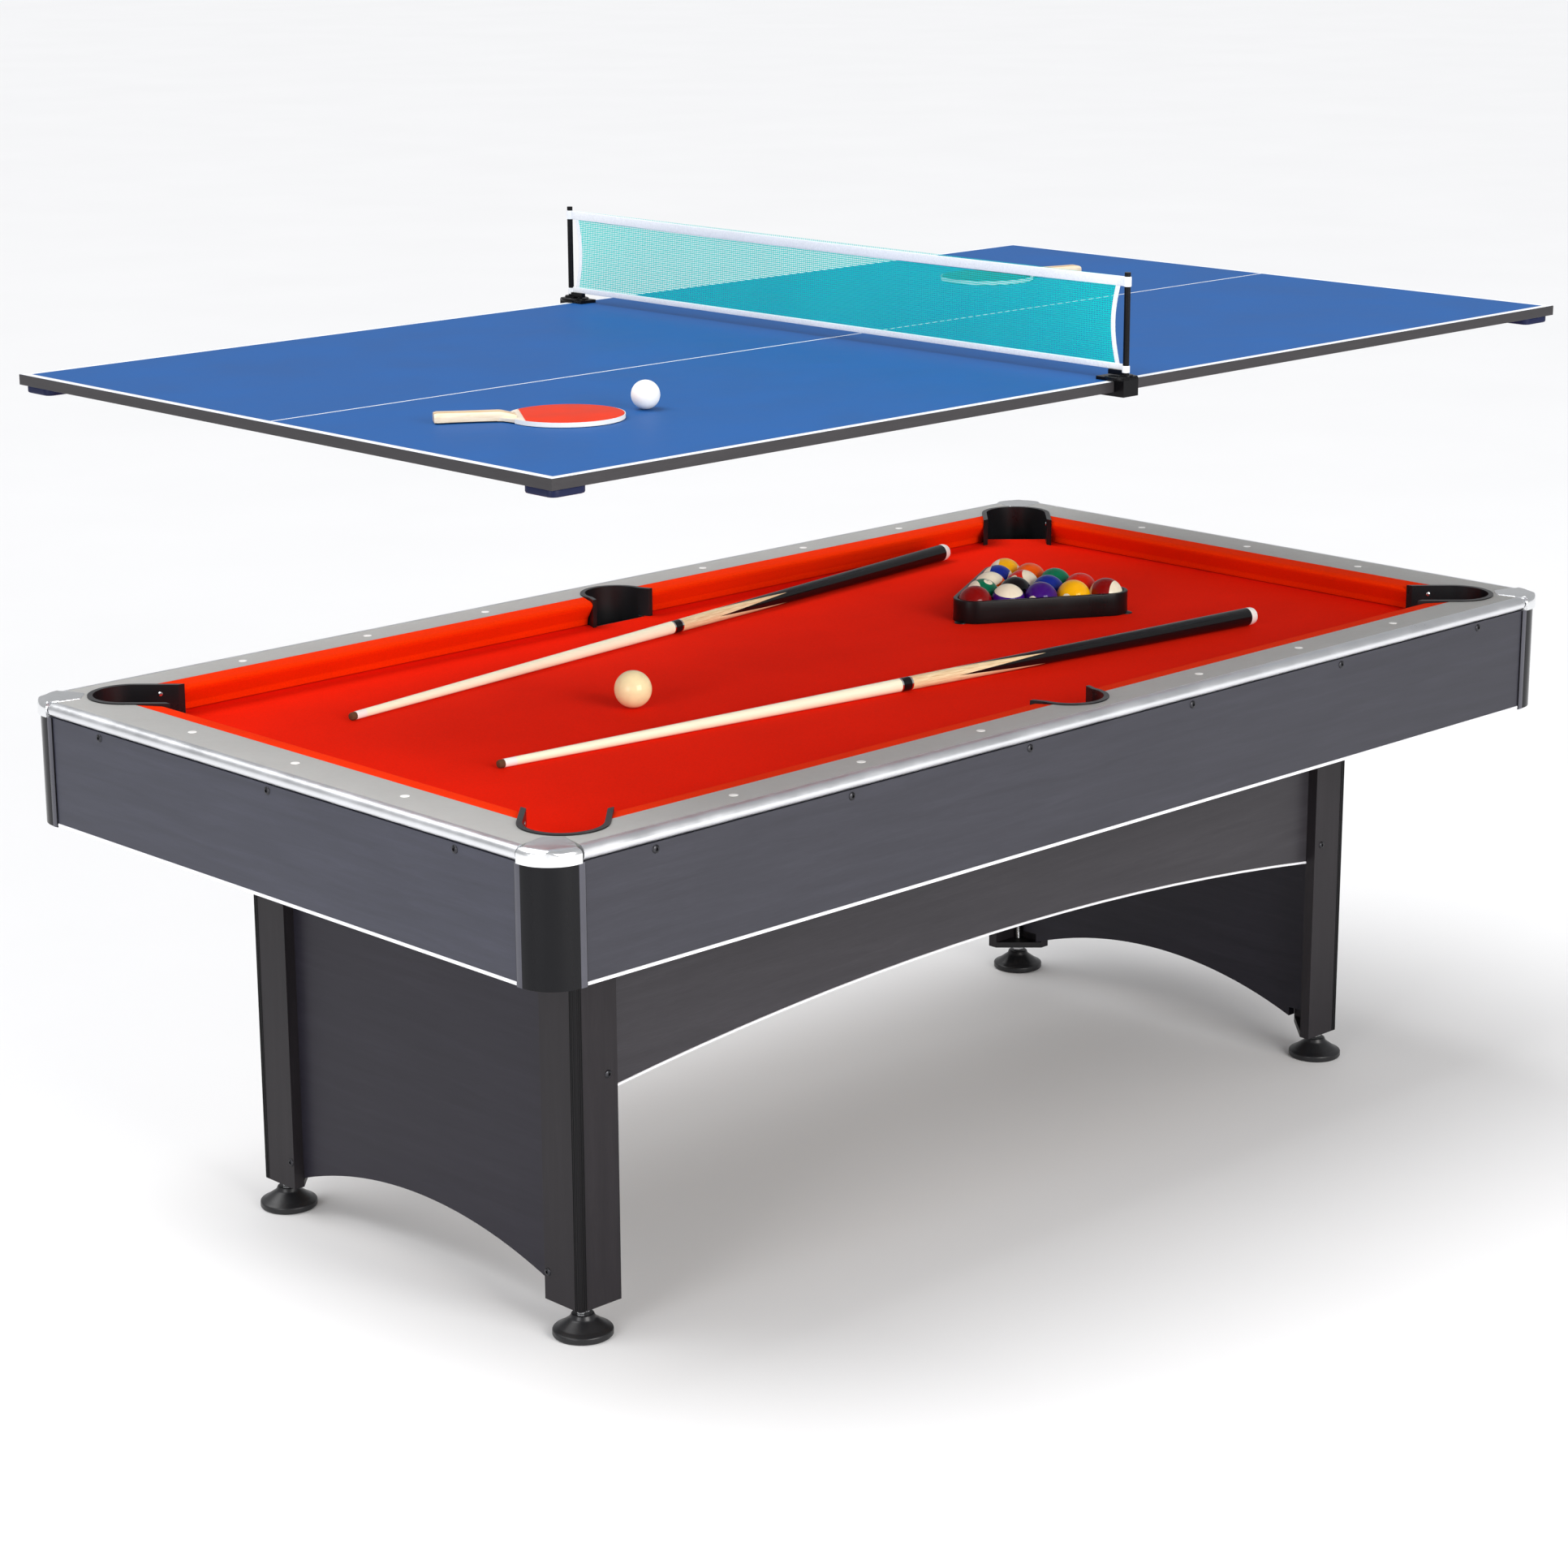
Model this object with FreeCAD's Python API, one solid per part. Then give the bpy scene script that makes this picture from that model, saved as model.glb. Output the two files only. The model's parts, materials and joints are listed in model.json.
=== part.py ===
import FreeCAD, Part
import math
import os

from FreeCAD import Vector

# Seven-foot pool table with a lift-off table-tennis top, millimetres.
# +X runs along the table, +Z is up, and the origin is on the floor under the table's middle.
# The table-tennis top hangs above the rails at rest and slides straight down until its pads seat.

os.makedirs("parts", exist_ok=True)

# ---- driving dimensions -------------------------------------------------------------------
PLAY_LENGTH = 1930.4            # cushion nose to cushion nose, along X
PLAY_WIDTH = 965.2              # cushion nose to cushion nose, along Y
RAIL_TOP = 805.5                # height of the rail tops above the floor
BED_DEPTH = 45.0                # cloth below the rail tops
BALL_DIAMETER = 57.15
CABINET_LENGTH = 2169.0         # over the apron faces
CABINET_WIDTH = 1174.0
APRON_BOTTOM = 623.5
APRON_THICK = 16.0
RAIL_THICK = 21.0
CUSHION_WIDTH = 36.0
TRIM_BULGE = 3.5                # the edge trim stands this far outside the apron faces
BEAD_HEIGHT = 5.0
BEAD_PROUD = 1.5

BED_THICK = 19.0
CLOTH_THICK = 1.0
BEAM_HEIGHT = 60.0
BEAM_THICK = 20.0

CORNER_POCKET_RADIUS = 53.5     # inside of the liner
CORNER_POCKET_SETBACK = 7.0     # pocket centre beyond the meeting of the nose lines
SIDE_POCKET_RADIUS = 50.0
SIDE_POCKET_SETBACK = 19.4
LINER_WALL = 8.0
LINER_PROUD = 2.0
CUP_WALL = 3.0
CUP_FLOOR = 640.0
SHELF_OFFSET = 12.0             # bed edge in front of the pocket centre
SIDE_JAW_FLARE = 8.0

CAP_PROUD = 2.5
POST_RADIUS = 52.0
POST_FLANGE = 13.0
POST_SKIN = 2.0
POST_DROP = 1.0                 # the posts end this far below the beading

LEG_CORNER_X = 854.5
LEG_CORNER_Y = 367.0
LEG_BOTTOM = 45.8
LEG_FLANGE = 76.0
LEG_BOARD = 18.0
LEG_STRIP = 12.0
FOOT_INSET = 25.0
FOOT_PLATE = 10.0
PANEL_THICK = 15.0
PANEL_LAP = 30.0                # each panel reaches this far behind a leg's flange
END_ARCH_RADIUS = 821.0
END_ARCH_CREST = 113.0
SIDE_ARCH_RADIUS = 6056.0
SIDE_ARCH_CREST = 407.0

TOP_LENGTH = 2130.0
TOP_WIDTH = 1179.0
TOP_THICK = 15.0
TOP_SURFACE = 1282.0            # height of the table-tennis surface as it hangs
TOP_EDGING = 1.5
PAD_THICK = 11.0
PAD_SIZE = 60.0
NET_HEIGHT = 148.0
NET_BASE = 8.0

GAP = 0.3                       # clearance under a loose piece that rests on another
SEAT_GAP = 0.05                 # between neighbouring balls in the rack

SIGHT_RADIUS = 6.5
SIGHT_DEPTH = 2.0
SIGHT_PROUD = 0.4
SCREW_SETBACK = 36.0            # liner screws behind the pocket's centre, along the arms
SCREW_DEPTH = 12.0              # below the rail tops
SCREW_HEAD = (3.5, 1.5)         # radius, height

BOLT_HEAD = (6.0, 2.5)          # radius, height
BOLT_SHANK_RADIUS = 3.0
BOLT_DROP = 9.0                 # apron bolts below the apron's top
SIDE_BOLT_PITCH = 360.0
END_BOLT_PITCH = 404.0
LEG_SIDE_BOLT = (796.0, 385.0)  # x, height of the bolt through each leg's side flange
LEG_END_BOLT = (298.0, 88.0)    # y, height of the bolt through each leg's end flange
LEG_BOLT_LENGTH = 30.0

PAD_RADIUS = 43.5               # levelling foot
FOOT_NECK_TOP = 33.0
NUT_TOP = 39.0
NUT_RADIUS = 9.8                # over the corners
STUD_RADIUS = 5.0
STUD_TOP = 84.0

PAD_INSET = 5.0                 # the top's seat pads in from its edges
PAD_ROUND = 12.0
POST_SETBACK = 8.0              # net posts outside the top's edges
NET_POST_RADIUS = 4.5
CLAMP_HALF = 16.0
CLAMP_GRIP = 34.0               # clamp's reach in from the top's edge
CLAMP_LIP = 5.0                 # clamp's thickness above the top
CLAMP_JAW = 6.0                 # clamp's thickness below the top

RACK_APEX = (420.0, 78.0)
RACK_HEIGHT = 38.0
RACK_WALL = 7.0
RACK_CLEARANCE = 0.6
CUE_BALL = (-380.0, 35.0)
CUE_LENGTH = 1480.0
CUE_TIP_RADIUS = 6.2
CUE_BUTT_RADIUS = 14.6
CUE_BUTT_START = 1462.0         # the bumper begins this far from the tip
CUES = {"cue_back": ((-731.0, 273.0), (764.0, 449.0)), "cue_front": ((-752.0, -92.0), (737.0, -273.0))}
PADDLES = {
    "paddle_red": ((-762.0, -268.0), (-893.0, -178.0)),
    "paddle_black": ((668.0, 287.0), (790.0, 247.0)),
}
BLADE_HALF_LONG = 79.0
BLADE_HALF_WIDE = 75.0
BLADE_PLY = 4.6
RUBBER = 1.3
HANDLE_LENGTH = 100.0
HANDLE_HALF = 13.0
HANDLE_SCALE = 8.5              # thickness of the wood added on the blade's upper side
TENNIS_BALL = (-637.0, -288.0)
TENNIS_BALL_RADIUS = 20.0

# ---- derived places -----------------------------------------------------------------------
NOSE_X = PLAY_LENGTH / 2
NOSE_Y = PLAY_WIDTH / 2
FACE_X = CABINET_LENGTH / 2
FACE_Y = CABINET_WIDTH / 2
CUSHION_BACK_X = NOSE_X + CUSHION_WIDTH
CUSHION_BACK_Y = NOSE_Y + CUSHION_WIDTH
TRIM_WIDTH = 14.0
RAIL_EDGE_X = FACE_X + TRIM_BULGE - TRIM_WIDTH
RAIL_EDGE_Y = FACE_Y + TRIM_BULGE - TRIM_WIDTH
RAIL_BOTTOM = RAIL_TOP - RAIL_THICK
CLOTH_TOP = RAIL_TOP - BED_DEPTH
BED_TOP = CLOTH_TOP - CLOTH_THICK
BED_BOTTOM = BED_TOP - BED_THICK
BEAM_BOTTOM = BED_BOTTOM - BEAM_HEIGHT
BALL_RADIUS = BALL_DIAMETER / 2
TOP_BOTTOM = TOP_SURFACE - TOP_THICK
CORNER_X = NOSE_X + CORNER_POCKET_SETBACK
CORNER_Y = NOSE_Y + CORNER_POCKET_SETBACK
SIDE_Y = NOSE_Y + SIDE_POCKET_SETBACK
FOOT_X = LEG_CORNER_X - FOOT_INSET
FOOT_Y = LEG_CORNER_Y - FOOT_INSET
PANEL_END_X = LEG_CORNER_X - LEG_BOARD
PANEL_END_Y = LEG_CORNER_Y - LEG_BOARD
CORNERS = {"front_left": (-1, -1), "front_right": (1, -1), "back_left": (-1, 1), "back_right": (1, 1)}
SIGHT_PITCH = PLAY_LENGTH / 8
CAP_FACE_X = FACE_X + TRIM_BULGE + 2
CAP_FACE_Y = FACE_Y + TRIM_BULGE + 2
SEAT_STEP = BALL_DIAMETER + SEAT_GAP
ROW_STEP = SEAT_STEP * math.sqrt(3) / 2


# ---- small helpers ------------------------------------------------------------------------
def save(name, pieces):
    """Write one node: a single solid, or a group of separate solids."""
    pieces = pieces if isinstance(pieces, list) else [pieces]
    shape = pieces[0] if len(pieces) == 1 else Part.makeCompound(pieces)
    shape.exportStep("parts/%s.step" % name)


def box(x0, x1, y0, y1, z0, z1):
    """A box between two corners given in any order."""
    low = Vector(min(x0, x1), min(y0, y1), min(z0, z1))
    return Part.makeBox(abs(x1 - x0), abs(y1 - y0), abs(z1 - z0), low)


def cylinder(radius, x, y, z0, z1):
    return Part.makeCylinder(radius, z1 - z0, Vector(x, y, z0))


def plate(points, z0, z1):
    """A flat polygon in plan, raised from z0 to z1."""
    wire = Part.makePolygon([Vector(x, y, z0) for x, y in points + points[:1]])
    return Part.Face(wire).extrude(Vector(0, 0, z1 - z0))


def mirrored(shape, sx, sy):
    """The piece made for the +X +Y quarter, mirrored to the quarter (sx, sy)."""
    if sx < 0:
        shape = shape.mirror(Vector(0, 0, 0), Vector(1, 0, 0))
    if sy < 0:
        shape = shape.mirror(Vector(0, 0, 0), Vector(0, 1, 0))
    return shape


def revolved(profile, x, y):
    """A closed profile of (radius, z) points, turned about the vertical line at (x, y)."""
    wire = Part.makePolygon([Vector(x + r, y, z) for r, z in profile + profile[:1]])
    return Part.Face(wire).revolve(Vector(x, y, 0), Vector(0, 0, 1), 360)


# ---- pocket outlines ----------------------------------------------------------------------
def corner_throat(radius, z0, z1):
    """A corner pocket's throat: a round back and two arms running in along the diagonal."""
    throat = cylinder(radius, CORNER_X, CORNER_Y, z0, z1)
    length = 160.0
    arms = box(-length, 0, -radius, radius, z0, z1)
    arms.rotate(Vector(0, 0, 0), Vector(0, 0, 1), 45)
    arms.translate(Vector(CORNER_X, CORNER_Y, 0))
    return throat.fuse(arms)


def side_throat(radius, z0, z1):
    """A side pocket's throat, which flares a little towards the cushion noses."""
    throat = cylinder(radius, 0, SIDE_Y, z0, z1)
    reach = 60.0
    flare = SIDE_JAW_FLARE * reach / SIDE_POCKET_SETBACK
    outline = [(-radius, SIDE_Y), (radius, SIDE_Y)]
    outline += [(radius + flare, SIDE_Y - reach), (-radius - flare, SIDE_Y - reach)]
    return throat.fuse(plate(outline, z0, z1))


def corner_front_cut(offset, z0, z1):
    """Everything on the table side of the bed's edge at a corner pocket."""
    size = 300.0
    block = box(-size, -offset, -size, size, z0, z1)
    block.rotate(Vector(0, 0, 0), Vector(0, 0, 1), 45)
    block.translate(Vector(CORNER_X, CORNER_Y, 0))
    return block


def side_front_cut(offset, z0, z1):
    return box(-300, 300, 0, SIDE_Y - offset, z0, z1)


def corner_hole(radius, offset, z0, z1):
    return cylinder(radius, CORNER_X, CORNER_Y, z0, z1).cut(corner_front_cut(offset, z0 - 1, z1 + 1))


def side_hole(radius, offset, z0, z1):
    return cylinder(radius, 0, SIDE_Y, z0, z1).cut(side_front_cut(offset, z0 - 1, z1 + 1))


def throat_cutters(z0, z1):
    """The space that all six liners fill, for trimming the rails and cushions."""
    corner = corner_throat(CORNER_POCKET_RADIUS + LINER_WALL, z0, z1)
    side = side_throat(SIDE_POCKET_RADIUS + LINER_WALL, z0, z1)
    cutters = [mirrored(corner, sx, sy) for sx, sy in CORNERS.values()]
    return cutters + [mirrored(side, 1, sy) for sy in (-1, 1)]


# ---- bed ----------------------------------------------------------------------------------
def bed_slab(half_x, half_y, z0, z1):
    slab = box(-half_x, half_x, -half_y, half_y, z0, z1)
    edge = SHELF_OFFSET + CUP_WALL
    corner = corner_hole(CORNER_POCKET_RADIUS + CUP_WALL, edge, z0 - 1, z1 + 1)
    side = side_hole(SIDE_POCKET_RADIUS + CUP_WALL, edge, z0 - 1, z1 + 1)
    holes = [mirrored(corner, sx, sy) for sx, sy in CORNERS.values()]
    holes += [mirrored(side, 1, sy) for sy in (-1, 1)]
    return slab.cut(Part.makeCompound(holes))


def make_bed():
    inner_x = FACE_X - APRON_THICK
    inner_y = FACE_Y - APRON_THICK
    save("bed_board", bed_slab(inner_x, inner_y, BED_BOTTOM, BED_TOP))
    save("bed_cloth", bed_slab(CUSHION_BACK_X, CUSHION_BACK_Y, BED_TOP, CLOTH_TOP))
    beams = []
    for x in (-650.0, -230.0, 230.0, 650.0):
        beams.append(box(x - BEAM_THICK / 2, x + BEAM_THICK / 2, -inner_y, inner_y, BEAM_BOTTOM, BED_BOTTOM))
    save("bed_cross_beams", beams)


# ---- cushions and rails -------------------------------------------------------------------
def cushion_profile(back):
    """Section of a cushion: distance from the table's middle, and height."""
    tip = back - CUSHION_WIDTH
    return [
        (back, RAIL_TOP - 0.5),
        (tip + 3, RAIL_TOP - 3.5),
        (tip, RAIL_TOP - 6.5),
        (tip + 1.5, RAIL_TOP - 11),
        (back - 14, CLOTH_TOP + 0.5),
        (back, CLOTH_TOP + 0.5),
    ]


def make_cushions():
    cutters = Part.makeCompound(throat_cutters(CLOTH_TOP - 5, RAIL_TOP + 5))
    side_section = cushion_profile(CUSHION_BACK_Y)
    wire = Part.makePolygon([Vector(0, y, z) for y, z in side_section + side_section[:1]])
    side = Part.Face(wire).extrude(Vector(CUSHION_BACK_X, 0, 0)).cut(cutters)
    side = largest(side)
    for name, (sx, sy) in CORNERS.items():
        save("cushion_" + name, mirrored(side, sx, sy))
    end_section = cushion_profile(CUSHION_BACK_X)
    wire = Part.makePolygon([Vector(x, -CUSHION_BACK_Y, z) for x, z in end_section + end_section[:1]])
    end = Part.Face(wire).extrude(Vector(0, 2 * CUSHION_BACK_Y, 0)).cut(cutters)
    end = largest(end)
    save("cushion_right", end)
    save("cushion_left", mirrored(end, -1, 1))


def largest(shape):
    return max(shape.Solids, key=lambda solid: solid.Volume)


def cap_outline(grow=0.0):
    """Plan of a corner cap in the +X +Y quarter: an inner chord beside the pocket, and a round corner."""
    far_x = CAP_FACE_X + grow
    far_y = CAP_FACE_Y + grow
    return [
        (FACE_X - 70, FACE_Y - 44.5),
        (FACE_X - 48.5, FACE_Y - 66),
        (far_x, FACE_Y - 55),
        (far_x, far_y),
        (FACE_X - 55, far_y),
    ]


def make_rails():
    cutters = throat_cutters(RAIL_BOTTOM - 5, RAIL_TOP + 5)
    cutters += [mirrored(plate(cap_outline(20), RAIL_BOTTOM - 5, RAIL_TOP + 5), *s) for s in CORNERS.values()]
    cutters = Part.makeCompound(cutters)
    inner = (CUSHION_BACK_X, CUSHION_BACK_Y)
    outer = (RAIL_EDGE_X, RAIL_EDGE_Y)
    half_side = plate([(0, inner[1]), inner, outer, (0, outer[1])], RAIL_BOTTOM, RAIL_TOP)
    half_side = largest(half_side.cut(cutters).cut(box(-1, 0.25, 0, 800, 0, 1000)))
    end_plan = [inner, outer, (outer[0], -outer[1]), (inner[0], -inner[1])]
    end = largest(plate(end_plan, RAIL_BOTTOM, RAIL_TOP).cut(cutters))
    sockets = Part.makeCompound(sight_pieces(0.0))
    for name, sy in (("rail_front", -1), ("rail_back", 1)):
        save(name, [mirrored(half_side, sx, sy).cut(sockets) for sx in (-1, 1)])
    save("rail_right", end.cut(sockets))
    save("rail_left", mirrored(end, -1, 1).cut(sockets))


def sight_pieces(proud):
    """Round inlaid sights: six along each side and three across each end."""
    side_y = (CUSHION_BACK_Y + RAIL_EDGE_Y) / 2
    end_x = (CUSHION_BACK_X + RAIL_EDGE_X) / 2 - 2
    places = []
    for step in (-3, -2, -1, 1, 2, 3):
        places += [(step * SIGHT_PITCH, side_y), (step * SIGHT_PITCH, -side_y)]
    for step in (-1, 0, 1):
        places += [(end_x, step * SIGHT_PITCH), (-end_x, step * SIGHT_PITCH)]
    return [cylinder(SIGHT_RADIUS, x, y, RAIL_TOP - SIGHT_DEPTH, RAIL_TOP + proud) for x, y in places]


def bullnose(length, width, height):
    """Half-round-edged strip along +X from the origin; its round edge faces +Y."""
    nose = height / 2
    start = Vector(0, width - nose, 0)
    middle = Vector(0, width, nose)
    end = Vector(0, width - nose, height)
    edges = [
        Part.LineSegment(Vector(0, 0, 0), start).toShape(),
        Part.Arc(start, middle, end).toShape(),
        Part.LineSegment(end, Vector(0, 0, height)).toShape(),
        Part.LineSegment(Vector(0, 0, height), Vector(0, 0, 0)).toShape(),
    ]
    return Part.Face(Part.Wire(edges)).extrude(Vector(length, 0, 0))


def make_edge_trim():
    side_length = 2 * (FACE_X - 55)
    end_length = 2 * (FACE_Y - 55)
    side = bullnose(side_length, TRIM_WIDTH, RAIL_THICK)
    side.translate(Vector(-side_length / 2, RAIL_EDGE_Y, RAIL_BOTTOM))
    end = bullnose(end_length, TRIM_WIDTH, RAIL_THICK)
    end.rotate(Vector(0, 0, 0), Vector(0, 0, 1), -90)
    end.translate(Vector(RAIL_EDGE_X, end_length / 2, RAIL_BOTTOM))
    caps = Part.makeCompound([mirrored(plate(cap_outline(20), 0, 1000), *s) for s in CORNERS.values()])
    strips = [side, mirrored(side, 1, -1), end, mirrored(end, -1, 1)]
    save("edge_trim_strips", [largest(strip.cut(caps)) for strip in strips])


# ---- pockets ------------------------------------------------------------------------------
def make_pockets():
    z_bed = CLOTH_TOP
    rim = RAIL_TOP + LINER_PROUD
    reach = CORNER_POCKET_RADIUS + LINER_WALL
    wall = corner_throat(reach, z_bed, rim).cut(corner_throat(CORNER_POCKET_RADIUS, z_bed - 1, rim + 1))
    wall = wall.cut(nose_cut_corner(z_bed, rim))
    cup = corner_hole(CORNER_POCKET_RADIUS + CUP_WALL, SHELF_OFFSET + CUP_WALL, CUP_FLOOR, z_bed)
    cup = cup.cut(corner_hole(CORNER_POCKET_RADIUS, SHELF_OFFSET, CUP_FLOOR + CUP_WALL, z_bed + 1))
    corner = wall.fuse(cup).removeSplitter()
    for name, (sx, sy) in CORNERS.items():
        save("pocket_" + name, mirrored(corner, sx, sy))
    reach = SIDE_POCKET_RADIUS + LINER_WALL
    wall = side_throat(reach, z_bed, rim).cut(side_throat(SIDE_POCKET_RADIUS, z_bed - 1, rim + 1))
    wall = wall.cut(box(-300, 300, 0, NOSE_Y, z_bed - 1, rim + 1))
    cup = side_hole(SIDE_POCKET_RADIUS + CUP_WALL, SHELF_OFFSET + CUP_WALL, CUP_FLOOR, z_bed)
    cup = cup.cut(side_hole(SIDE_POCKET_RADIUS, SHELF_OFFSET, CUP_FLOOR + CUP_WALL, z_bed + 1))
    side = wall.fuse(cup).removeSplitter()
    save("pocket_side_back", side)
    save("pocket_side_front", mirrored(side, 1, -1))


def nose_cut_corner(z0, z1):
    """The playing area, which the corner liner's arms stop short of."""
    return box(-2000, NOSE_X, -2000, NOSE_Y, z0 - 1, z1 + 1)


def make_pocket_screws():
    """Two small screws through each corner liner's arms, heads inside the throat."""
    screws = []
    for sx, sy in CORNERS.values():
        for side in (-1, 1):
            head = Part.makeCylinder(SCREW_HEAD[0], SCREW_HEAD[1], Vector(0, 0, 0), Vector(0, 1, 0))
            head.translate(Vector(-SCREW_SETBACK, -CORNER_POCKET_RADIUS, RAIL_TOP - SCREW_DEPTH))
            if side > 0:
                head = head.mirror(Vector(0, 0, 0), Vector(0, 1, 0))
            head.rotate(Vector(0, 0, 0), Vector(0, 0, 1), 45)
            head.translate(Vector(CORNER_X, CORNER_Y, 0))
            screws.append(mirrored(head, sx, sy))
    save("pocket_screws", screws)


# ---- cabinet ------------------------------------------------------------------------------
def make_aprons():
    top = RAIL_BOTTOM
    inner_x = FACE_X - APRON_THICK
    inner_y = FACE_Y - APRON_THICK
    end_x = FACE_X - POST_RADIUS + POST_SKIN
    end_y = FACE_Y - POST_RADIUS + POST_SKIN
    front = box(-end_x, end_x, inner_y, FACE_Y, APRON_BOTTOM, top)
    left = box(inner_x, FACE_X, -end_y, end_y, APRON_BOTTOM, top)
    holes = bolt_holes(apron_bolt_places(), APRON_THICK)
    save("apron_back", front.cut(holes))
    save("apron_front", mirrored(front, 1, -1).cut(holes))
    save("apron_right", left.cut(holes))
    save("apron_left", mirrored(left, -1, 1).cut(holes))
    bead_x = end_x - POST_FLANGE
    bead_y = end_y - POST_FLANGE
    low = APRON_BOTTOM - BEAD_HEIGHT
    bead = box(-bead_x, bead_x, inner_y, FACE_Y + BEAD_PROUD, low, APRON_BOTTOM)
    bead_end = box(inner_x, FACE_X + BEAD_PROUD, -bead_y, bead_y, low, APRON_BOTTOM)
    save("apron_beading", [bead, mirrored(bead, 1, -1), bead_end, mirrored(bead_end, -1, 1)])


def post_shell():
    """A thin corner post: a quarter round with a flat flange on each side."""
    z0 = APRON_BOTTOM - BEAD_HEIGHT - POST_DROP
    z1 = RAIL_BOTTOM
    outer_x = FACE_X + POST_SKIN
    outer_y = FACE_Y + POST_SKIN
    outside = rounded_corner(outer_x, outer_y, POST_RADIUS, POST_FLANGE, z0, z1)
    inside = rounded_corner(FACE_X, FACE_Y, POST_RADIUS - POST_SKIN, POST_FLANGE + 1, z0 - 1, z1 + 1)
    return outside.cut(inside)


def rounded_corner(far_x, far_y, radius, flange, z0, z1):
    """A block with its outer vertical edge rounded, cut square a flange's width past the round."""
    x0 = far_x - radius - flange
    y0 = far_y - radius - flange
    core = Part.makeCylinder(radius, z1 - z0, Vector(far_x - radius, far_y - radius, z0), Vector(0, 0, 1), 90)
    slab_x = box(x0, far_x, y0, far_y - radius, z0, z1)
    slab_y = box(x0, far_x - radius, y0, far_y, z0, z1)
    return core.fuse([slab_x, slab_y]).removeSplitter()


def make_corner_posts():
    shell = post_shell()
    save("corner_posts", [mirrored(shell, sx, sy) for sx, sy in CORNERS.values()])


def make_corner_caps():
    z0 = RAIL_BOTTOM
    z1 = RAIL_TOP + CAP_PROUD
    radius = POST_RADIUS + TRIM_BULGE
    flange = 60.0
    crown = 9.0
    cap = plate(cap_outline(), z0, z1)
    cap = cap.common(rounded_corner(CAP_FACE_X, CAP_FACE_Y, radius, flange, z0, z1))
    rim = [e for e in cap.Edges if min(v.Z for v in e.Vertexes) > z1 - 0.1 and outside_edge(e)]
    cap = cap.makeFillet(crown, rim)
    save("corner_caps", [mirrored(cap, sx, sy) for sx, sy in CORNERS.values()])


def outside_edge(edge):
    """True for the cap's top edges that face away from the table."""
    middle = edge.CenterOfMass
    return middle.x - FACE_X > -12 or middle.y - FACE_Y > -12


def make_corner_brackets():
    """Steel angle inside each corner, behind the ends of two aprons."""
    x = FACE_X - APRON_THICK
    y = FACE_Y - APRON_THICK
    z0 = APRON_BOTTOM + 8
    z1 = BED_BOTTOM - 6
    reach = 45.0
    leaf = 2.5
    keep_x = FACE_X - POST_RADIUS
    keep_y = FACE_Y - POST_RADIUS
    brace = plate([(keep_x - reach, y), (keep_x - reach, y - leaf), (keep_x - 6, y - leaf),
                   (x - leaf, keep_y - 6), (x - leaf, keep_y - reach), (x, keep_y - reach),
                   (x, keep_y - 4), (keep_x - 4, y)], z0, z1)
    save("corner_brackets", [mirrored(brace, sx, sy) for sx, sy in CORNERS.values()])


# ---- legs ---------------------------------------------------------------------------------
def make_legs():
    x1 = LEG_CORNER_X
    y1 = LEG_CORNER_Y
    z0 = LEG_BOTTOM
    z1 = BED_BOTTOM
    strip = LEG_STRIP
    side_board = box(x1 - LEG_FLANGE, x1 - strip, y1 - LEG_BOARD, y1, z0, z1)
    end_board = box(x1 - LEG_BOARD, x1, y1 - LEG_FLANGE, y1 - strip, z0, z1)
    end_board = end_board.cut(side_board)
    post = box(x1 - LEG_BOARD, x1, y1 - LEG_BOARD, y1, z0, z1).cut(side_board).cut(end_board)
    edges = [e for e in post.Edges if abs(e.CenterOfMass.x - x1) < 0.1 and abs(e.CenterOfMass.y - y1) < 0.1]
    post = post.makeFillet(4.0, edges)
    side_board = largest(side_board.cut(post))
    holes = bolt_holes(leg_bolt_places(), LEG_BOLT_LENGTH)
    for name, (sx, sy) in CORNERS.items():
        boards = [mirrored(side_board, sx, sy).cut(holes), mirrored(end_board, sx, sy).cut(holes)]
        save("leg_" + name, boards)
    save("leg_corner_strips", [mirrored(post, sx, sy) for sx, sy in CORNERS.values()])


def make_foot_plates():
    """Triangular plates inside the legs' lower ends, tapped for the levellers."""
    x1 = LEG_CORNER_X - LEG_BOARD
    y1 = LEG_CORNER_Y - LEG_BOARD
    reach = LEG_FLANGE - LEG_BOARD
    tri = plate([(x1, y1), (x1 - reach, y1), (x1, y1 - reach)], LEG_BOTTOM, LEG_BOTTOM + FOOT_PLATE)
    tri = tri.cut(cylinder(STUD_RADIUS + 0.05, FOOT_X, FOOT_Y, 0, 200))
    save("leg_foot_plates", [mirrored(tri, sx, sy) for sx, sy in CORNERS.values()])


def make_levelling_feet():
    rim = PAD_RADIUS - 2.5
    profile = [(0, 0), (rim, 0), (PAD_RADIUS, 2.5), (PAD_RADIUS, 9), (rim, 12), (27, 19), (17.5, 28)]
    profile += [(16, FOOT_NECK_TOP), (0, FOOT_NECK_TOP)]
    pad = revolved(profile, FOOT_X, FOOT_Y)
    nut_points = []
    for step in range(6):
        angle = math.radians(60 * step)
        nut_points.append((FOOT_X + NUT_RADIUS * math.cos(angle), FOOT_Y + NUT_RADIUS * math.sin(angle)))
    nut = plate(nut_points, FOOT_NECK_TOP, NUT_TOP)
    nut = nut.cut(cylinder(STUD_RADIUS, FOOT_X, FOOT_Y, 0, 200))
    stud = cylinder(STUD_RADIUS, FOOT_X, FOOT_Y, FOOT_NECK_TOP, STUD_TOP)
    for name, (sx, sy) in CORNERS.items():
        save("levelling_foot_" + name, [mirrored(piece, sx, sy) for piece in (pad, nut, stud)])


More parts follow.
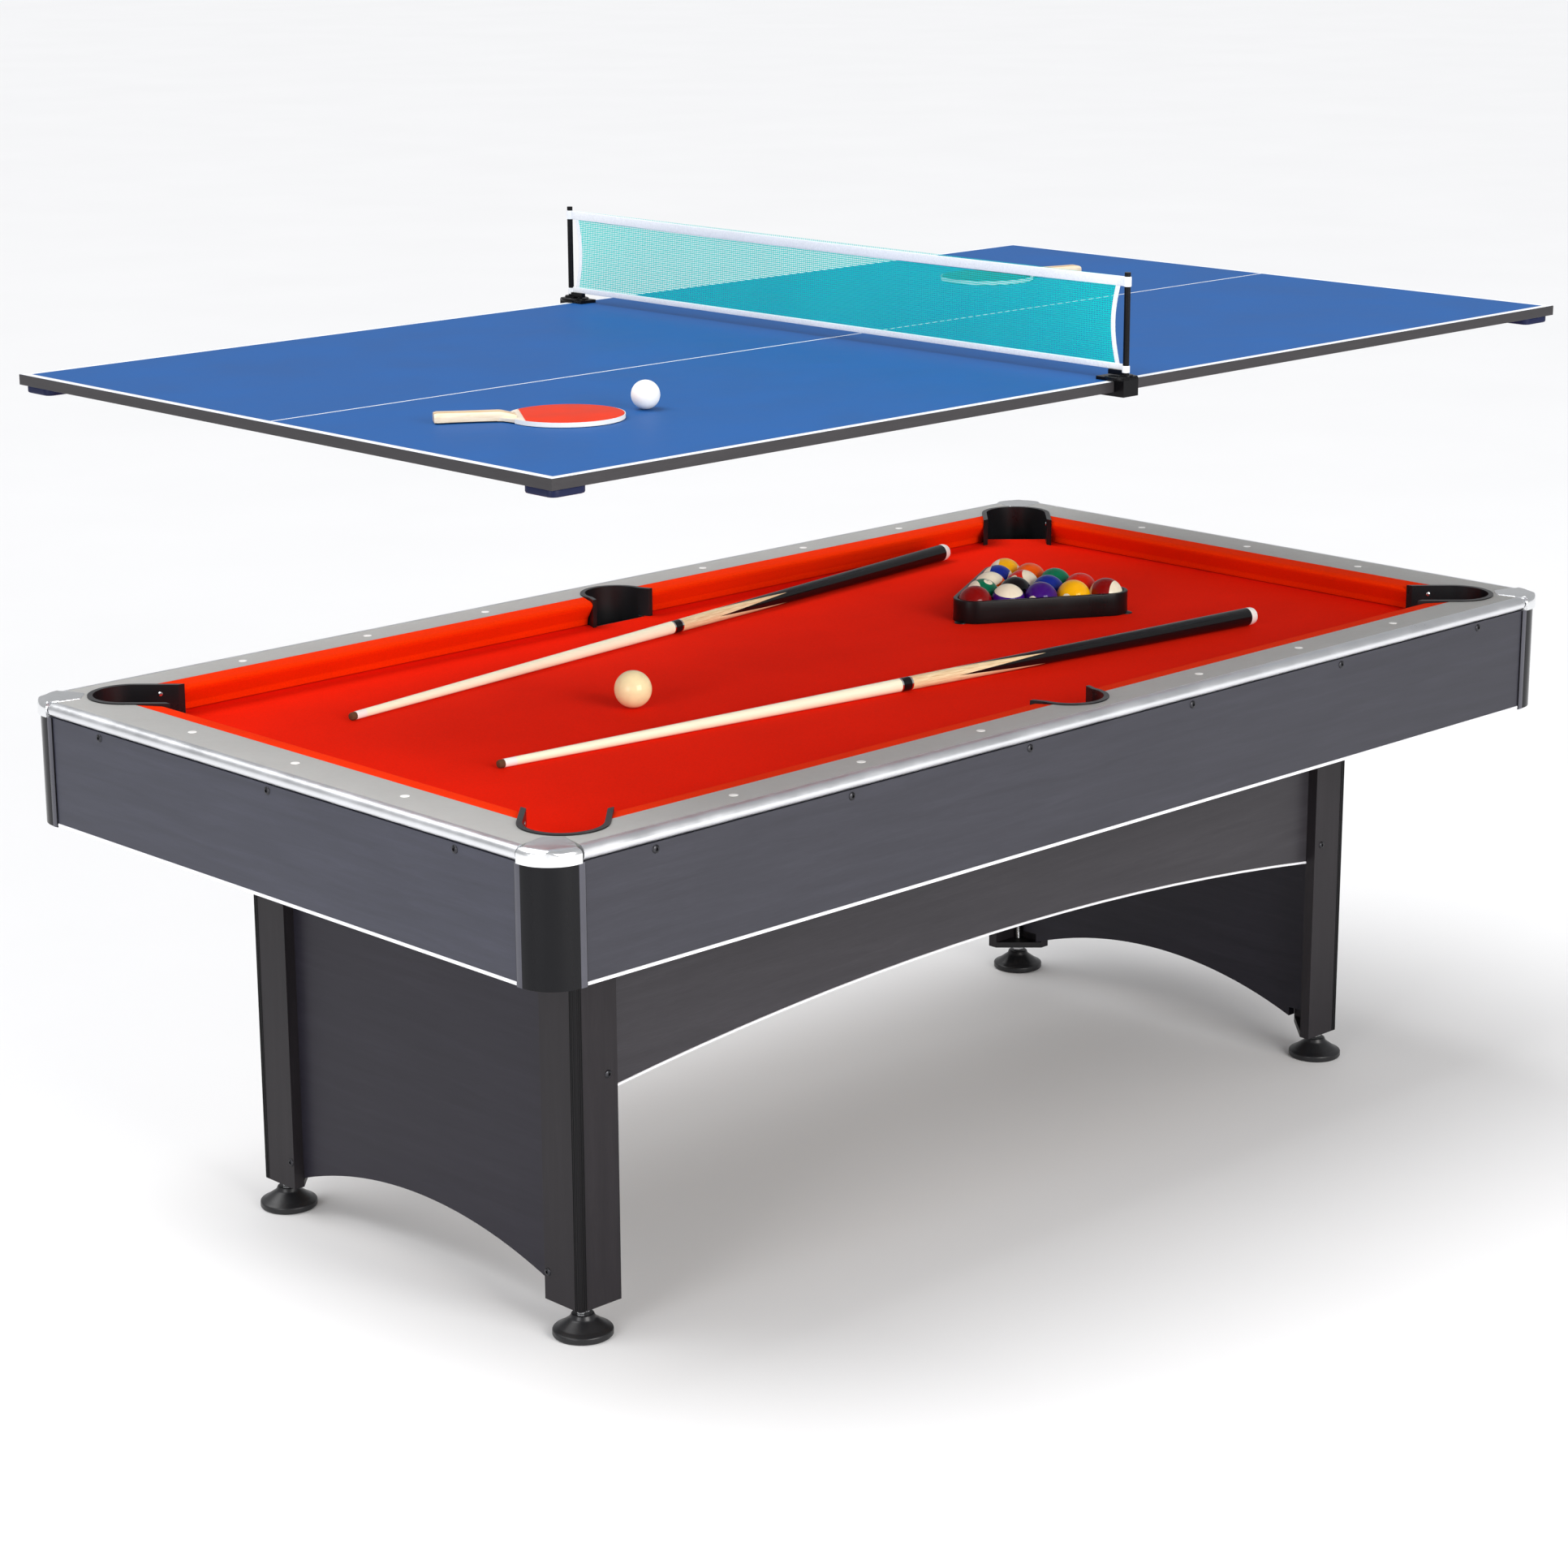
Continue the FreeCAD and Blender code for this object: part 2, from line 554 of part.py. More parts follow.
def make_panels():
    """Arched panels between the legs: two at the ends, two along the sides."""
    half_y = LEG_CORNER_Y - LEG_FLANGE + PANEL_LAP
    end = box(PANEL_END_X - PANEL_THICK, PANEL_END_X, -half_y, half_y, LEG_BOTTOM + 10, BED_BOTTOM)
    centre = Vector(PANEL_END_X - 50, 0, END_ARCH_CREST - END_ARCH_RADIUS)
    arch = Part.makeCylinder(END_ARCH_RADIUS, 100, centre, Vector(1, 0, 0))
    inner_y = LEG_CORNER_Y - LEG_FLANGE
    foot = box(PANEL_END_X - 50, PANEL_END_X + 50, inner_y, half_y + 1, 0, 75)
    end = end.cut(arch).cut(foot).cut(mirrored(foot, 1, -1))
    end = largest(end)
    half_x = LEG_CORNER_X - LEG_FLANGE + PANEL_LAP
    side = box(-half_x, half_x, PANEL_END_Y - PANEL_THICK, PANEL_END_Y, SIDE_ARCH_CREST - 80, BEAM_BOTTOM)
    centre = Vector(0, PANEL_END_Y - 50, SIDE_ARCH_CREST - SIDE_ARCH_RADIUS)
    low = Part.makeCylinder(SIDE_ARCH_RADIUS, 100, centre, Vector(0, 1, 0))
    board = largest(side.cut(low))
    inner_x = LEG_CORNER_X - LEG_FLANGE
    bead_outer = Part.makeCylinder(SIDE_ARCH_RADIUS, 20, Vector(0, PANEL_END_Y - PANEL_THICK, centre.z),
                                   Vector(0, 1, 0))
    bead_inner = Part.makeCylinder(SIDE_ARCH_RADIUS - 4, 100, centre, Vector(0, 1, 0))
    window = box(-inner_x, inner_x, PANEL_END_Y - PANEL_THICK, PANEL_END_Y + BEAD_PROUD, 200, 600)
    bead = largest(bead_outer.cut(bead_inner).common(window))
    holes = bolt_holes(leg_bolt_places(), LEG_BOLT_LENGTH)
    save("end_panel_right", end.cut(holes))
    save("end_panel_left", mirrored(end, -1, 1).cut(holes))
    save("side_panel_back", board.cut(holes))
    save("side_panel_front", mirrored(board, 1, -1).cut(holes))
    save("side_panel_beading", [bead, mirrored(bead, 1, -1)])


# ---- bolts --------------------------------------------------------------------------------
def apron_bolt_places():
    """Centre of each bolt head and the outward direction of its apron."""
    height = RAIL_BOTTOM - BOLT_DROP
    places = []
    for step in (-2.5, -1.5, -0.5, 0.5, 1.5, 2.5):
        for sy in (-1, 1):
            places.append((Vector(step * SIDE_BOLT_PITCH, sy * FACE_Y, height), Vector(0, sy, 0)))
    for step in (-1, 0, 1):
        for sx in (-1, 1):
            places.append((Vector(sx * FACE_X, step * END_BOLT_PITCH, height), Vector(sx, 0, 0)))
    return places


def leg_bolt_places():
    """One bolt through each leg's side flange and one through its end flange."""
    places = []
    for sx, sy in CORNERS.values():
        places.append((Vector(sx * LEG_SIDE_BOLT[0], sy * LEG_CORNER_Y, LEG_SIDE_BOLT[1]), Vector(0, sy, 0)))
        places.append((Vector(sx * LEG_CORNER_X, sy * LEG_END_BOLT[0], LEG_END_BOLT[1]), Vector(sx, 0, 0)))
    return places


def bolt_shank(place, length):
    """The plain shank that runs in from the face; it also drills its own hole."""
    point, outward = place
    return Part.makeCylinder(BOLT_SHANK_RADIUS, length, point - outward * length, outward)


def bolt_holes(places, length):
    return Part.makeCompound([bolt_shank(place, length) for place in places])


def bolt(place, length):
    """A button-headed bolt: a low head on the face and a shank into the board."""
    point, outward = place
    head = Part.makeCylinder(BOLT_HEAD[0], BOLT_HEAD[1], point, outward)
    return head.fuse(bolt_shank(place, length)).removeSplitter()


def make_bolts():
    bolts = [bolt(place, APRON_THICK) for place in apron_bolt_places()]
    bolts += [bolt(place, LEG_BOLT_LENGTH) for place in leg_bolt_places()]
    save("panel_bolts", bolts)


# ---- table-tennis top ---------------------------------------------------------------------
def make_tennis_top():
    half_x = TOP_LENGTH / 2
    half_y = TOP_WIDTH / 2
    core_x = half_x - TOP_EDGING
    core_y = half_y - TOP_EDGING
    save("tennis_top_left", box(-core_x, 0, -core_y, core_y, TOP_BOTTOM, TOP_SURFACE))
    save("tennis_top_right", box(0, core_x, -core_y, core_y, TOP_BOTTOM, TOP_SURFACE))
    frame = box(0, half_x, -half_y, half_y, TOP_BOTTOM, TOP_SURFACE)
    frame = frame.cut(box(-1, core_x, -core_y, core_y, 0, 2000))
    save("tennis_top_edging", [frame, mirrored(frame, -1, 1)])
    pads = []
    for sx, sy in CORNERS.values():
        half = PAD_SIZE / 2
        x = half_x - half - PAD_INSET
        y = half_y - half - PAD_INSET
        pad = box(x - half, x + half, y - half, y + half, TOP_BOTTOM - PAD_THICK, TOP_BOTTOM)
        pad = pad.makeFillet(PAD_ROUND, [e for e in pad.Edges if abs(e.Vertexes[0].Z - e.Vertexes[-1].Z) > 1])
        pads.append(mirrored(pad, sx, sy))
    save("tennis_top_pads", pads)


def make_net():
    edge_y = TOP_WIDTH / 2
    post_y = edge_y + POST_SETBACK
    clamp_in = edge_y - CLAMP_GRIP
    clamp_out = edge_y + POST_SETBACK + 10
    arm_low = TOP_SURFACE + NET_BASE
    arm_high = arm_low + 7
    lip = TOP_SURFACE + CLAMP_LIP
    clamps = []
    for sy in (-1, 1):
        body = box(-CLAMP_HALF, CLAMP_HALF, sy * clamp_in, sy * clamp_out, TOP_BOTTOM - CLAMP_JAW, lip)
        slot = box(-CLAMP_HALF - 1, CLAMP_HALF + 1, sy * (clamp_in - 1), sy * edge_y, TOP_BOTTOM, TOP_SURFACE)
        body = body.cut(slot)
        post = cylinder(NET_POST_RADIUS, 0, sy * post_y, lip, TOP_SURFACE + NET_HEIGHT + 6)
        arm = box(-4, 4, sy * (edge_y - 22), sy * post_y, arm_low, arm_high)
        clamps.append(body.fuse([post, arm]).removeSplitter())
    save("net_posts", clamps)
    half = post_y - NET_POST_RADIUS
    save("net", box(-1.0, 1.0, -half, half, arm_high, TOP_SURFACE + NET_HEIGHT))


# ---- playing pieces -----------------------------------------------------------------------
def rack_ball_places():
    places = []
    for row in range(5):
        for seat in range(row + 1):
            x = RACK_APEX[0] + row * ROW_STEP
            y = RACK_APEX[1] + (seat - row / 2) * SEAT_STEP
            places.append((x, y))
    return places


def ball(x, y):
    return Part.makeSphere(BALL_RADIUS, Vector(x, y, CLOTH_TOP + GAP + BALL_RADIUS))


def rack_outline(grow):
    """Rounded triangle round the fifteen balls, grown outward."""
    reach = 4 * ROW_STEP
    half = 2 * SEAT_STEP
    base_x = RACK_APEX[0] + reach
    corners = [RACK_APEX, (base_x, RACK_APEX[1] - half), (base_x, RACK_APEX[1] + half)]
    wire = Part.makePolygon([Vector(x, y, 0) for x, y in corners + corners[:1]])
    return Part.Face(wire).makeOffset2D(grow)


def make_rack():
    z0 = CLOTH_TOP + GAP
    inner = rack_outline(BALL_RADIUS + RACK_CLEARANCE)
    outer = rack_outline(BALL_RADIUS + RACK_CLEARANCE + RACK_WALL)
    inner.translate(Vector(0, 0, z0 - 1))
    outer.translate(Vector(0, 0, z0))
    frame = outer.extrude(Vector(0, 0, RACK_HEIGHT)).cut(inner.extrude(Vector(0, 0, RACK_HEIGHT + 2)))
    save("ball_rack", frame)
    save("object_balls", [ball(x, y) for x, y in rack_ball_places()])


def cue_solids(tip, butt):
    """A two-piece cue lying on the cloth: tip, ferrule, shaft, collar, butt and bumper."""
    direction = Vector(butt[0] - tip[0], butt[1] - tip[1], 0)
    direction.normalize()
    stations = [(0, CUE_TIP_RADIUS), (10, CUE_TIP_RADIUS), (30, 6.3), (730, 10.4), (750, 10.6)]
    stations += [(CUE_BUTT_START, CUE_BUTT_RADIUS), (CUE_LENGTH, CUE_BUTT_RADIUS - 0.4)]
    solids = []
    for (s0, r0), (s1, r1) in zip(stations[:-1], stations[1:]):
        length = s1 - s0
        same = abs(r1 - r0) < 1e-6
        piece = Part.makeCylinder(r0, length) if same else Part.makeCone(r0, r1, length)
        piece.translate(Vector(0, 0, s0))
        solids.append(piece)
    tilt = math.degrees(math.atan2(CUE_BUTT_RADIUS - CUE_TIP_RADIUS, CUE_BUTT_START))
    heading = math.degrees(math.atan2(direction.y, direction.x))
    lift = CUE_TIP_RADIUS / math.cos(math.radians(tilt)) + GAP
    for piece in solids:
        piece.rotate(Vector(0, 0, 0), Vector(0, 1, 0), 90 - tilt)
        piece.rotate(Vector(0, 0, 0), Vector(0, 0, 1), heading)
        piece.translate(Vector(tip[0], tip[1], CLOTH_TOP + lift))
    return solids


def make_playing_pieces():
    save("cue_ball", ball(*CUE_BALL))
    for name, (tip, butt) in CUES.items():
        save(name, cue_solids(tip, butt))


def paddle_solids(centre, grip):
    """Blade with rubber on both faces and a two-sided handle, lying flat on the top."""
    ply_top = RUBBER + BLADE_PLY
    neck_x = BLADE_HALF_LONG + 6
    end_x = BLADE_HALF_LONG + HANDLE_LENGTH
    blade = Part.Face(Part.Wire(Part.Ellipse(Vector(0, 0, 0), BLADE_HALF_LONG, BLADE_HALF_WIDE).toShape()))
    shoulders = [(55, -24), (neck_x, -HANDLE_HALF), (neck_x, HANDLE_HALF), (55, 24), (55, -24)]
    neck = Part.Face(Part.makePolygon([Vector(x, y, 0) for x, y in shoulders]))
    core = blade.fuse(neck).removeSplitter().extrude(Vector(0, 0, BLADE_PLY))
    core.translate(Vector(0, 0, RUBBER))
    core = core.fuse(box(neck_x, end_x, -HANDLE_HALF, HANDLE_HALF, RUBBER, ply_top)).removeSplitter()
    bare_throat = box(62, 300, -100, 100, -10, 50)
    lower = blade.extrude(Vector(0, 0, RUBBER)).cut(bare_throat)
    upper = lower.copy()
    upper.translate(Vector(0, 0, ply_top))
    scale_top = ply_top + HANDLE_SCALE
    scale = box(BLADE_HALF_LONG - 8, end_x, -HANDLE_HALF - 1, HANDLE_HALF + 1, ply_top, scale_top)
    scale = scale.makeFillet(5, [e for e in scale.Edges if e.BoundBox.ZMin > scale_top - 1])
    pieces = [core, lower, upper, scale]
    heading = math.degrees(math.atan2(grip[1] - centre[1], grip[0] - centre[0]))
    for piece in pieces:
        piece.rotate(Vector(0, 0, 0), Vector(0, 0, 1), heading)
        piece.translate(Vector(centre[0], centre[1], TOP_SURFACE + GAP))
    return pieces


def make_tennis_pieces():
    for name, (centre, grip) in PADDLES.items():
        save(name, paddle_solids(centre, grip))
    height = TOP_SURFACE + GAP + TENNIS_BALL_RADIUS
    save("tennis_ball", Part.makeSphere(TENNIS_BALL_RADIUS, Vector(TENNIS_BALL[0], TENNIS_BALL[1], height)))


def main():
    make_bed()
    make_cushions()
    make_rails()
    save("rail_sights", sight_pieces(SIGHT_PROUD))
    make_edge_trim()
    make_pockets()
    make_pocket_screws()
    make_aprons()
    make_corner_posts()
    make_corner_caps()
    make_corner_brackets()
    make_legs()
    make_foot_plates()
    make_levelling_feet()
    make_panels()
    make_bolts()
    make_tennis_top()
    make_net()
    make_rack()
    make_playing_pieces()
    make_tennis_pieces()


main()
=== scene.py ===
import json
import random
from math import acos, asin, atan2, ceil, cos, exp, hypot, pi, radians, sin, sqrt, tan

import bmesh
import bpy
from mathutils import Matrix, Quaternion, Vector


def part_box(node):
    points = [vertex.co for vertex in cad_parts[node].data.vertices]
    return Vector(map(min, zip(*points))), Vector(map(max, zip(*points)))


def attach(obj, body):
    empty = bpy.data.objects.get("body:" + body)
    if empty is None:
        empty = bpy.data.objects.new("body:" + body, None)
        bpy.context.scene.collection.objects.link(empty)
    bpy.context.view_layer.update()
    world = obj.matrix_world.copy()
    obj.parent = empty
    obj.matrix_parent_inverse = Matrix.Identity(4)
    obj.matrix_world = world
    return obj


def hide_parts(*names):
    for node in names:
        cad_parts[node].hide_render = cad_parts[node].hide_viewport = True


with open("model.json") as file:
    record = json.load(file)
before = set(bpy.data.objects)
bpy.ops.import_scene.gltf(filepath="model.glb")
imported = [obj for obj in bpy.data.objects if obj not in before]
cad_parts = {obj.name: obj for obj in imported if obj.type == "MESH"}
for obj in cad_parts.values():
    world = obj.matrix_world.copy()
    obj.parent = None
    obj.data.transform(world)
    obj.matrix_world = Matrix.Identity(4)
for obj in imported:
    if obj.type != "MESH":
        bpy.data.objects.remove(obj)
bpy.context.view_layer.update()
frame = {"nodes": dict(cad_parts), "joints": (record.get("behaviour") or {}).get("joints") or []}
random.seed(7)

MM = 0.001

# ---- places read from the frame ----
RAIL_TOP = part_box("rail_front")[1].z
CLOTH_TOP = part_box("bed_cloth")[1].z
TOP_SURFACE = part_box("tennis_top_left")[1].z
NOSE_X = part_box("cushion_right")[0].x
NOSE_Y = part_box("cushion_back_right")[0].y
CUSHION_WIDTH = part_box("cushion_right")[1].x - NOSE_X
CORNERS = {"front_left": (-1, -1), "front_right": (1, -1), "back_left": (-1, 1), "back_right": (1, 1)}

# ---- sizes that the frame's boxes don't give ----
SIGHT_PITCH = 241.3 * MM
THROAT = 53.5 * MM          # half the width of a pocket's throat
POCKET_OUT = 7 * MM         # a corner pocket's centre, out from both cushions' noses
BALL_RADIUS = 28.575 * MM
STRIPE_SHARE = 0.56         # half a stripe's width, as a share of the ball's radius
NET_POST_RADIUS = 4.5 * MM
TIP_RADIUS = 6.2 * MM
BUTT_RADIUS = 14.6 * MM
BUTT_AT = 1.462             # where along a cue the butt has its full radius


# ---- mesh helpers ----
def added(name, data):
    """A new object in the scene."""
    made = bpy.data.objects.new(name, data)
    bpy.context.scene.collection.objects.link(made)
    return made


def mesh_object(name, parts, angle=35):
    """A mesh of (verts, faces) shells turned outward, smooth but at edges sharper than the angle."""
    verts = []
    faces = []
    for part_verts, part_faces in parts:
        faces += [[len(verts) + i for i in face] for face in part_faces]
        verts += [tuple(v) for v in part_verts]
    mesh = bpy.data.meshes.new(name)
    mesh.from_pydata(verts, [], faces)
    mesh.validate()
    work = bmesh.new()
    work.from_mesh(mesh)
    bmesh.ops.remove_doubles(work, verts=work.verts, dist=1e-7)
    bmesh.ops.recalc_face_normals(work, faces=work.faces)
    work.to_mesh(mesh)
    work.free()
    mesh.shade_smooth()
    mesh.set_sharp_from_angle(angle=radians(angle))
    return added(name, mesh)


def build(name, parts, body, materials, replaces=None, angle=35, place=None):
    """A mesh with its place, materials and body, and the CAD node that it stands for."""
    piece = mesh_object(name, parts, angle)
    if place:
        piece.matrix_world = place
    for made in materials if isinstance(materials, list) else [materials]:
        piece.data.materials.append(made)
    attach(piece, body)
    if replaces:
        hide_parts(replaces)
    return piece


def loft(rings, caps=True):
    """Quads between rings of equally many points, with a face over each end."""
    count = len(rings[0])
    verts = [v for ring in rings for v in ring]
    faces = []
    for a in range(0, count * (len(rings) - 1), count):
        b = a + count
        faces += [[a + i, a + (i + 1) % count, b + (i + 1) % count, b + i] for i in range(count)]
    if caps:
        faces.append(list(range(count))[::-1])
        faces.append([len(verts) - count + i for i in range(count)])
    return verts, faces


def turn_angles(count):
    """Angles evenly spaced over a full turn."""
    return [2 * pi * i / count for i in range(count)]


def circle(radius, count, *height):
    return [Vector((radius * cos(t), radius * sin(t), *height)) for t in turn_angles(count)]


def lathe(profile, segments=48):
    """(radius, z) points turned about Z; an end on the axis shrinks to a tiny face."""
    return loft([circle(max(radius, 1e-6), segments, z) for radius, z in profile])


def fillet(points, radii, steps=6, closed=True):
    """A 2-D polygon with its corners rounded."""
    out = []
    count = len(points)
    radii = radii if isinstance(radii, list) else [radii] * count
    for i, point in enumerate(points):
        p = Vector(point)
        ends = not closed and i in (0, count - 1)
        if radii[i] <= 0 or ends:
            out.append(p)
            continue
        a = (Vector(points[i - 1]) - p).normalized()
        b = (Vector(points[(i + 1) % count]) - p).normalized()
        half = acos(max(-1, min(1, a.dot(b)))) / 2
        reach = radii[i] / tan(half)
        centre = p + (a + b).normalized() * (radii[i] / sin(half))
        start = p + a * reach - centre
        turn = start.angle_signed(p + b * reach - centre)
        out += [centre + Matrix.Rotation(-turn * k / steps, 2) @ start for k in range(steps + 1)]
    return out


def refined(points, step):
    """The same outline with points added so that none are further apart than the step."""
    out = []
    for i, p in enumerate(points):
        q = points[(i + 1) % len(points)]
        count = max(1, ceil((q - p).length / step))
        out += [p.lerp(q, k / count) for k in range(count)]
    return out


def slab(outline, z0, z1, round_top=0.0, round_bottom=0.0):
    """A flat outline given thickness, its rims rounded inward by some millimetres."""
    edge = [Vector(p) for p in outline]
    count = len(edge)
    normals = []
    for i in range(count):
        d = (edge[(i + 1) % count] - edge[i - 1]).normalized()
        normals.append(Vector((d.y, -d.x)))
    area = sum(edge[i - 1].x * edge[i].y - edge[i].x * edge[i - 1].y for i in range(count))
    if area < 0:
        normals = [-n for n in normals]
    quarter = [pi / 2 * k / 4 for k in range(5)]
    top, bottom = round_top * MM, round_bottom * MM
    levels = [(bottom * (1 - sin(t)), z0 + bottom * (1 - cos(t))) for t in quarter]
    levels += [(top * (1 - cos(t)), z1 - top * (1 - sin(t))) for t in quarter]
    return loft([[(p.x - n.x * a, p.y - n.y * a, z) for p, n in zip(edge, normals)] for a, z in levels])


def bar(path, section, closed=False, up=(0, 0, 1)):
    """A section of (across, up) points carried along a path, square to it."""
    count = len(path)
    rings = []
    for i, p in enumerate(path):
        before = path[i - 1] if (i or closed) else p
        after = path[(i + 1) % count] if (i < count - 1 or closed) else p
        along = (Vector(after) - Vector(before)).normalized()
        across = along.cross(Vector(up)).normalized()
        rise = across.cross(along).normalized()
        rings.append([Vector(p) + across * a + rise * b for a, b in section])
    if closed:
        rings.append(rings[0])
    return loft(rings, caps=not closed)


def placed(part, matrix):
    verts, faces = part
    return [matrix @ Vector(v) for v in verts], faces


def moved(part, x, y, z=0):
    return placed(part, Matrix.Translation((x, y, z)))


def facing(part, spot, direction):
    """A part made along Z, turned to point along a direction and moved to a spot."""
    turn = Vector(direction).to_track_quat("Z", "Y").to_matrix().to_4x4()
    return placed(part, Matrix.Translation(spot) @ turn)


def at_corners(part):
    """A part made at the back right corner, mirrored to all four."""
    return [placed(part, Matrix.Diagonal((sx, sy, 1, 1))) for sx, sy in CORNERS.values()]


def shells(mesh):
    """The lowest and highest corner of each separate shell in a mesh."""
    work = bmesh.new()
    work.from_mesh(mesh)
    bmesh.ops.remove_doubles(work, verts=work.verts, dist=1e-6)
    boxes = []
    seen = set()
    for first in work.verts:
        if first in seen:
            continue
        seen.add(first)
        shell = [first]
        for vert in shell:
            for edge in vert.link_edges:
                other = edge.other_vert(vert)
                if other not in seen:
                    seen.add(other)
                    shell.append(other)
        boxes.append([Vector([pick(v.co[i] for v in shell) for i in range(3)]) for pick in (min, max)])
    work.free()
    return boxes


def dress(node, material, width=0.8):
    """A CAD node that keeps its own shape: edges softened by some millimetres, and a real material."""
    piece = frame["nodes"][node]
    attribute = piece.data.attributes.get("custom_normal")
    if attribute:
        piece.data.attributes.remove(attribute)
    piece.data.shade_smooth()
    for name, kind, settings in (
            ("weld", "WELD", {"merge_threshold": 1e-5}),
            ("flat_faces", "DECIMATE", {"decimate_type": "DISSOLVE", "angle_limit": radians(0.5)}),
            ("edges", "BEVEL", {"width": width * MM, "segments": 2, "limit_method": "ANGLE",
                                "angle_limit": radians(35), "harden_normals": False}),
            ("normals", "WEIGHTED_NORMAL", {"weight": 90})):
        modifier = piece.modifiers.new(name, kind)
        for key, value in settings.items():
            setattr(modifier, key, value)
    piece.data.materials.clear()
    piece.data.materials.append(material)


# ---- materials ----
OBJECT_COORDS = 3           # the Texture Coordinate node's output
WAVE_PERIOD = 0.31416       # metres between a Wave texture's bands at a scale of 1
PLAIN = (1, 1, 1)           # a texture stretched no way
WHITE = (1.0, 1.0, 1.0, 1.0)


def srgb(red, green, blue):
    """Linear colour from 0-255 screen values."""
    def linear(c):
        c /= 255
        return c / 12.92 if c <= 0.04045 else ((c + 0.055) / 1.055) ** 2.4
    return (linear(red), linear(green), linear(blue), 1.0)


def shade(colour, factor):
    return tuple(min(1.0, c * factor) for c in colour[:3]) + (1.0,)


class Graph:
    """A material's nodes, with a Principled shader at the end."""

    def __init__(self, name, **settings):
        self.material = bpy.data.materials.new(name)
        self.material.use_nodes = True
        self.tree = self.material.node_tree
        self.shader = next(n for n in self.tree.nodes if n.type == "BSDF_PRINCIPLED")
        for key, value in settings.items():
            self.set(key.replace("_", " ").title().replace("Ior", "IOR"), value)

    def set(self, socket, value):
        self.feed(self.shader.inputs[socket], value)

    def feed(self, socket, value):
        if isinstance(value, bpy.types.NodeSocket):
            self.tree.links.new(value, socket)
        else:
            socket.default_value = value

    def node(self, kind, output=0, settings=None, **inputs):
        made = self.tree.nodes.new("ShaderNode" + kind)
        for key, value in (settings or {}).items():
            setattr(made, key, value)
        for key, value in inputs.items():
            index = int(key[1:]) if key[0] == "i" and key[1:].isdigit() else key.replace("_", " ")
            self.feed(made.inputs[index], value)
        return made.outputs if output is None else made.outputs[output]

    def math(self, operation, a, b=0.0):
        return self.node("Math", settings={"operation": operation}, i0=a, i1=b)

    def coords(self, scale=PLAIN):
        return self.node("Mapping", Vector=self.node("TexCoord", output=OBJECT_COORDS), Scale=scale)

    def xyz(self, vector):
        return self.node("SeparateXYZ", output=None, i0=vector)

    def noise(self, scale, stretch=PLAIN, detail=4.0, roughness=0.5, distortion=0.0):
        return self.node("TexNoise", Vector=self.coords(stretch), Scale=scale, Detail=detail,
                         Roughness=roughness, Distortion=distortion)

    def both(self, a, share, b):
        """A share of one value and the rest of another."""
        return self.math("ADD", self.math("MULTIPLY", a, share), self.math("MULTIPLY", b, 1 - share))

    def ramp(self, value, stops):
        made = self.node("ValToRGB", i0=value)
        elements = made.node.color_ramp.elements
        while len(elements) < len(stops):
            elements.new(0.5)
        for element, (position, colour) in zip(elements, stops):
            element.position = position
            element.color = colour
        return made

    def spread(self, value, low, high, start=0.3, end=0.7):
        return self.node("MapRange", Value=value, From_Min=start, From_Max=end, To_Min=low, To_Max=high)

    def mix(self, factor, a, b):
        return self.node("Mix", output=2, settings={"data_type": "RGBA"}, i0=factor, i6=a, i7=b)

    def colour(self, value):
        self.set("Base Color", value)

    def fade(self, value, a, b, start=0.3, end=0.7):
        return self.ramp(value, [(start, a), (end, b)])

    def tint(self, value, base, low, high, *reach):
        """The base colour, from darker where the value is low to lighter where it is high."""
        self.colour(self.fade(value, shade(base, low), shade(base, high), *reach))

    def rough(self, value, low, high, *reach):
        self.set("Roughness", self.spread(value, low, high, *reach))

    def bump(self, height, strength, distance):
        self.set("Normal", self.node("Bump", Strength=strength, Distance=distance * MM, Height=height))


def cloth(name, base, thread=1.6, sheen=WHITE):
    """Short-napped woven billiard cloth, its threads some millimetres apart."""
    g = Graph(name, sheen_weight=0.02, sheen_roughness=0.4, sheen_tint=sheen, specular_ior_level=0.03)
    warp, weft = [g.node("TexWave", output=1, settings={"bands_direction": axis}, Vector=g.coords(),
                         Scale=WAVE_PERIOD / (thread * MM), Distortion=0.6, Detail=1.0, Detail_Scale=2.0)
                  for axis in "XY"]
    nap = g.noise(420.0, detail=3.0, roughness=0.7)
    g.tint(g.both(nap, 0.55, g.noise(3.2, detail=3.0)), base, 0.84, 1.12)
    g.rough(nap, 0.82, 0.97, 0.0, 1.0)
    g.bump(g.math("ADD", g.math("MULTIPLY", g.math("ADD", warp, weft), 0.5), nap), 0.25, 0.4)
    return g.material


def laminate(name, base, grain, contrast=0.22, roughness=(0.33, 0.46), gloss=0.3):
    """Printed wood-grain laminate with a fine ticking."""
    g = Graph(name, specular_ior_level=gloss)
    broad = g.noise(5.0, grain, detail=6.0, roughness=0.62, distortion=0.5)
    fine = g.noise(42.0, grain, detail=4.0, roughness=0.7)
    g.colour(g.ramp(g.both(broad, 0.6, fine), [(0.30, shade(base, 1 - contrast)), (0.52, base),
                                               (0.72, shade(base, 1 + contrast * 1.3))]))
    g.rough(fine, *roughness)
    g.bump(fine, 0.12, 0.25)
    return g.material


def plastic(name, base, roughness=0.3, grain=900.0, bump=0.08, coat=0.0, variation=0.12, gloss=0.4):
    """Moulded plastic with a fine texture and slight handling marks."""
    g = Graph(name, coat_weight=coat, coat_roughness=0.08, specular_ior_level=gloss)
    smear = g.noise(9.0, detail=5.0, roughness=0.6)
    g.tint(smear, base, 1 - variation, 1 + variation)
    g.rough(smear, roughness * 0.85, roughness * 1.25)
    g.bump(g.noise(grain, detail=2.0), bump, 0.1)
    return g.material


